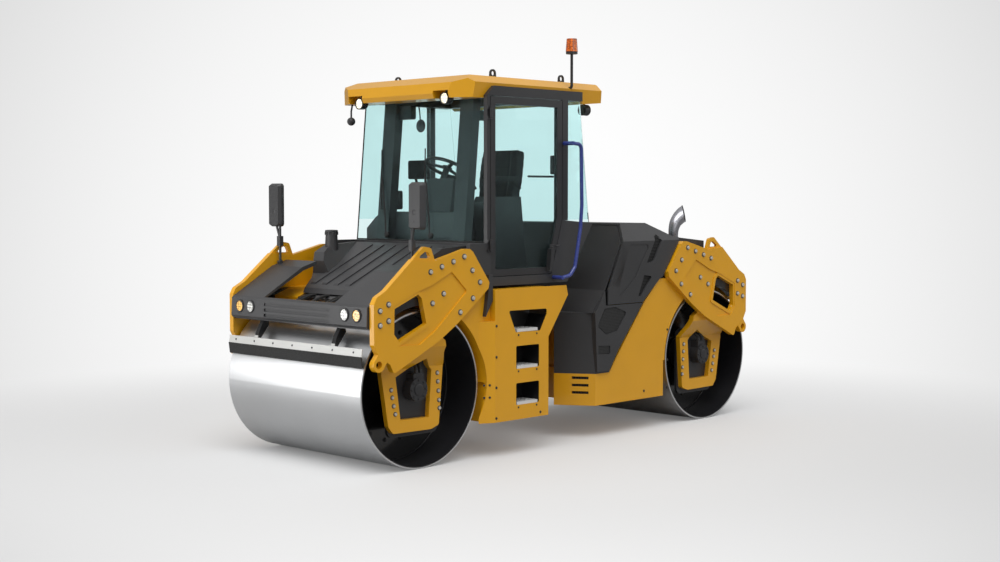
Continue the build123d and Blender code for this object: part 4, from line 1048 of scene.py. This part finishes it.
def build_cushions():
    """Padded seat and back with sewn channels, in place of the plain blocks."""
    shrink = 0.010
    travel = 0.011
    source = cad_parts["seat_cushions"]
    mesh = bmesh.new()
    mesh.from_mesh(source.data)
    bmesh.ops.remove_doubles(mesh, verts=mesh.verts, dist=0.0002)
    bmesh.ops.recalc_face_normals(mesh, faces=mesh.faces)
    for vertex in mesh.verts:
        vertex.co -= vertex.normal * shrink
    data = bpy.data.meshes.new("seat_pads")
    mesh.to_mesh(data)
    mesh.free()
    pads = bpy.data.objects.new("seat_pads", data)
    bpy.context.scene.collection.objects.link(pads)
    puff(pads, travel)
    for vertex in pads.data.vertices:
        sew(vertex)
    finer = pads.modifiers.new("finer", "SUBSURF")
    finer.levels = finer.render_levels = 1
    apply_modifiers(pads)
    pads.data.materials.clear()
    pads.data.materials.append(seat_cloth)
    pads.data.shade_smooth()
    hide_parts("seat_cushions")
    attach(pads, "front_frame")


# Camera and studio
def build_camera():
    """A camera at the photograph's viewpoint."""
    data = bpy.data.cameras.new("camera")
    data.sensor_width = sensor_width
    data.lens = focal_pixels * sensor_width / picture_width
    data.clip_end = camera_reach
    camera = bpy.data.objects.new("camera", data)
    bpy.context.scene.collection.objects.link(camera)
    gaze = Vector((
        cos(camera_pitch) * cos(camera_yaw), cos(camera_pitch) * sin(camera_yaw), sin(camera_pitch),
    ))
    camera.location = camera_place
    camera.rotation_euler = gaze.to_track_quat("-Z", "Y").to_euler()
    bpy.context.scene.camera = camera


def vignette(tree, direction):
    """Painted shade: grey that falls off as a direction in the world turns away from the middle of the
    fade.
    """
    middle = add_node(tree, "ShaderNodeVectorMath", operation="DOT_PRODUCT")
    middle.inputs[1].default_value = fade_middle
    tree.links.new(direction, middle.inputs[0])
    return ramp(tree, middle.outputs["Value"], grey(backdrop_edge), grey(backdrop_bright), *fade_band)


def seen_directly(tree):
    """One for rays from the camera, also through glass."""
    rays = tree.nodes.new("ShaderNodeLightPath")
    return joined(tree, "MAXIMUM", rays.outputs["Is Camera Ray"], rays.outputs["Is Transmission Ray"])


def blended(tree, share, first, second, output):
    """Two shaders mixed by a share, into the tree's output."""
    mix = tree.nodes.new("ShaderNodeMixShader")
    for index, source in enumerate((share, first, second)):
        tree.links.new(source, mix.inputs[index])
    tree.links.new(mix.outputs[0], tree.nodes[output].inputs["Surface"])


def build_world():
    """Even studio sky, and a pale backdrop to the camera."""
    world = bpy.data.worlds.new("studio")
    bpy.context.scene.world = world
    world.use_nodes = True
    tree = world.node_tree
    sky = tree.nodes["Background"]
    direction = tree.nodes.new("ShaderNodeTexCoord").outputs["Generated"]
    height = tree.nodes.new("ShaderNodeSeparateXYZ")
    tree.links.new(direction, height.inputs[0])
    gradient = ramp(tree, height.outputs["Z"], grey(sky_low), grey(sky_high), *sky_band)
    tree.links.new(gradient, sky.inputs["Color"])
    sky.inputs["Strength"].default_value = sky_strength
    pale = add_node(tree, "ShaderNodeBackground", Strength=1.0)
    tree.links.new(vignette(tree, direction), pale.inputs["Color"])
    blended(tree, seen_directly(tree), sky.outputs[0], pale.outputs[0], "World Output")


def build_floor():
    """Pale floor that takes the shadows near the machine and turns into the backdrop further out."""
    bpy.ops.mesh.primitive_plane_add(size=floor_side)
    floor = bpy.context.object
    floor.name = "floor"
    made, tree, shader = material("floor_pale")
    shader.inputs["Roughness"].default_value = 0.75
    shader.inputs["Specular IOR Level"].default_value = 0.15
    place = tree.nodes.new("ShaderNodeNewGeometry").outputs["Position"]
    ray = add_node(tree, "ShaderNodeVectorMath", operation="SUBTRACT")
    ray.inputs[1].default_value = fade_place
    tree.links.new(place, ray.inputs[0])
    direction = add_node(tree, "ShaderNodeVectorMath", operation="NORMALIZE")
    tree.links.new(ray.outputs["Vector"], direction.inputs[0])
    shade = vignette(tree, direction.outputs["Vector"])
    direct = seen_directly(tree)
    strength = add_node(tree, "ShaderNodeMapRange", To_Min=floor_bounce, To_Max=floor_albedo)
    tree.links.new(direct, strength.inputs["Value"])
    albedo = add_node(tree, "ShaderNodeVectorMath", operation="SCALE")
    tree.links.new(strength.outputs["Result"], albedo.inputs["Scale"])
    tree.links.new(shade, albedo.inputs[0])
    tree.links.new(albedo.outputs["Vector"], shader.inputs["Base Color"])
    glow = tree.nodes.new("ShaderNodeEmission")
    tree.links.new(shade, glow.inputs["Color"])
    reach = add_node(tree, "ShaderNodeVectorMath", operation="LENGTH")
    tree.links.new(place, reach.inputs[0])
    far_off = add_node(
        tree, "ShaderNodeMapRange", interpolation_type="SMOOTHSTEP", From_Min=floor_fade[0],
        From_Max=floor_fade[1], To_Min=floor_glow,
    )
    tree.links.new(reach.outputs["Value"], far_off.inputs["Value"])
    share = joined(tree, "MULTIPLY", far_off.outputs["Result"], direct)
    blended(tree, share, shader.outputs[0], glow.outputs[0], "Material Output")
    floor.data.materials.append(made)


def put_light(name, data, place, target):
    """Aims a lamp from one place at another."""
    lamp = bpy.data.objects.new(name, data)
    bpy.context.scene.collection.objects.link(lamp)
    lamp.location = place
    lamp.rotation_euler = (Vector(target) - Vector(place)).to_track_quat("-Z", "Y").to_euler()


def build_lights():
    """A broad sun that leaves the floor even, and soft panels for the highlights."""
    sun = bpy.data.lights.new("sun", "SUN")
    sun.energy = sun_power
    sun.angle = sun_spread
    put_light("sun", sun, sun_place, (0, 0, 0))
    for name, place, target, size, power in soft_panels:
        data = bpy.data.lights.new(name, "AREA")
        data.shape = "RECTANGLE"
        data.size, data.size_y = size
        data.energy = power
        put_light(name, data, place, target)


dress_nodes()
build_yoke_parts()
build_drum_ends()
build_ladder()
build_lamps()
build_front_parts()
build_cab_outside()
build_cab_inside()
build_hood_parts()
build_exhaust()
build_cushions()
build_camera()
build_world()
build_floor()
build_lights()

bpy.context.scene.view_settings.view_transform = "Standard"
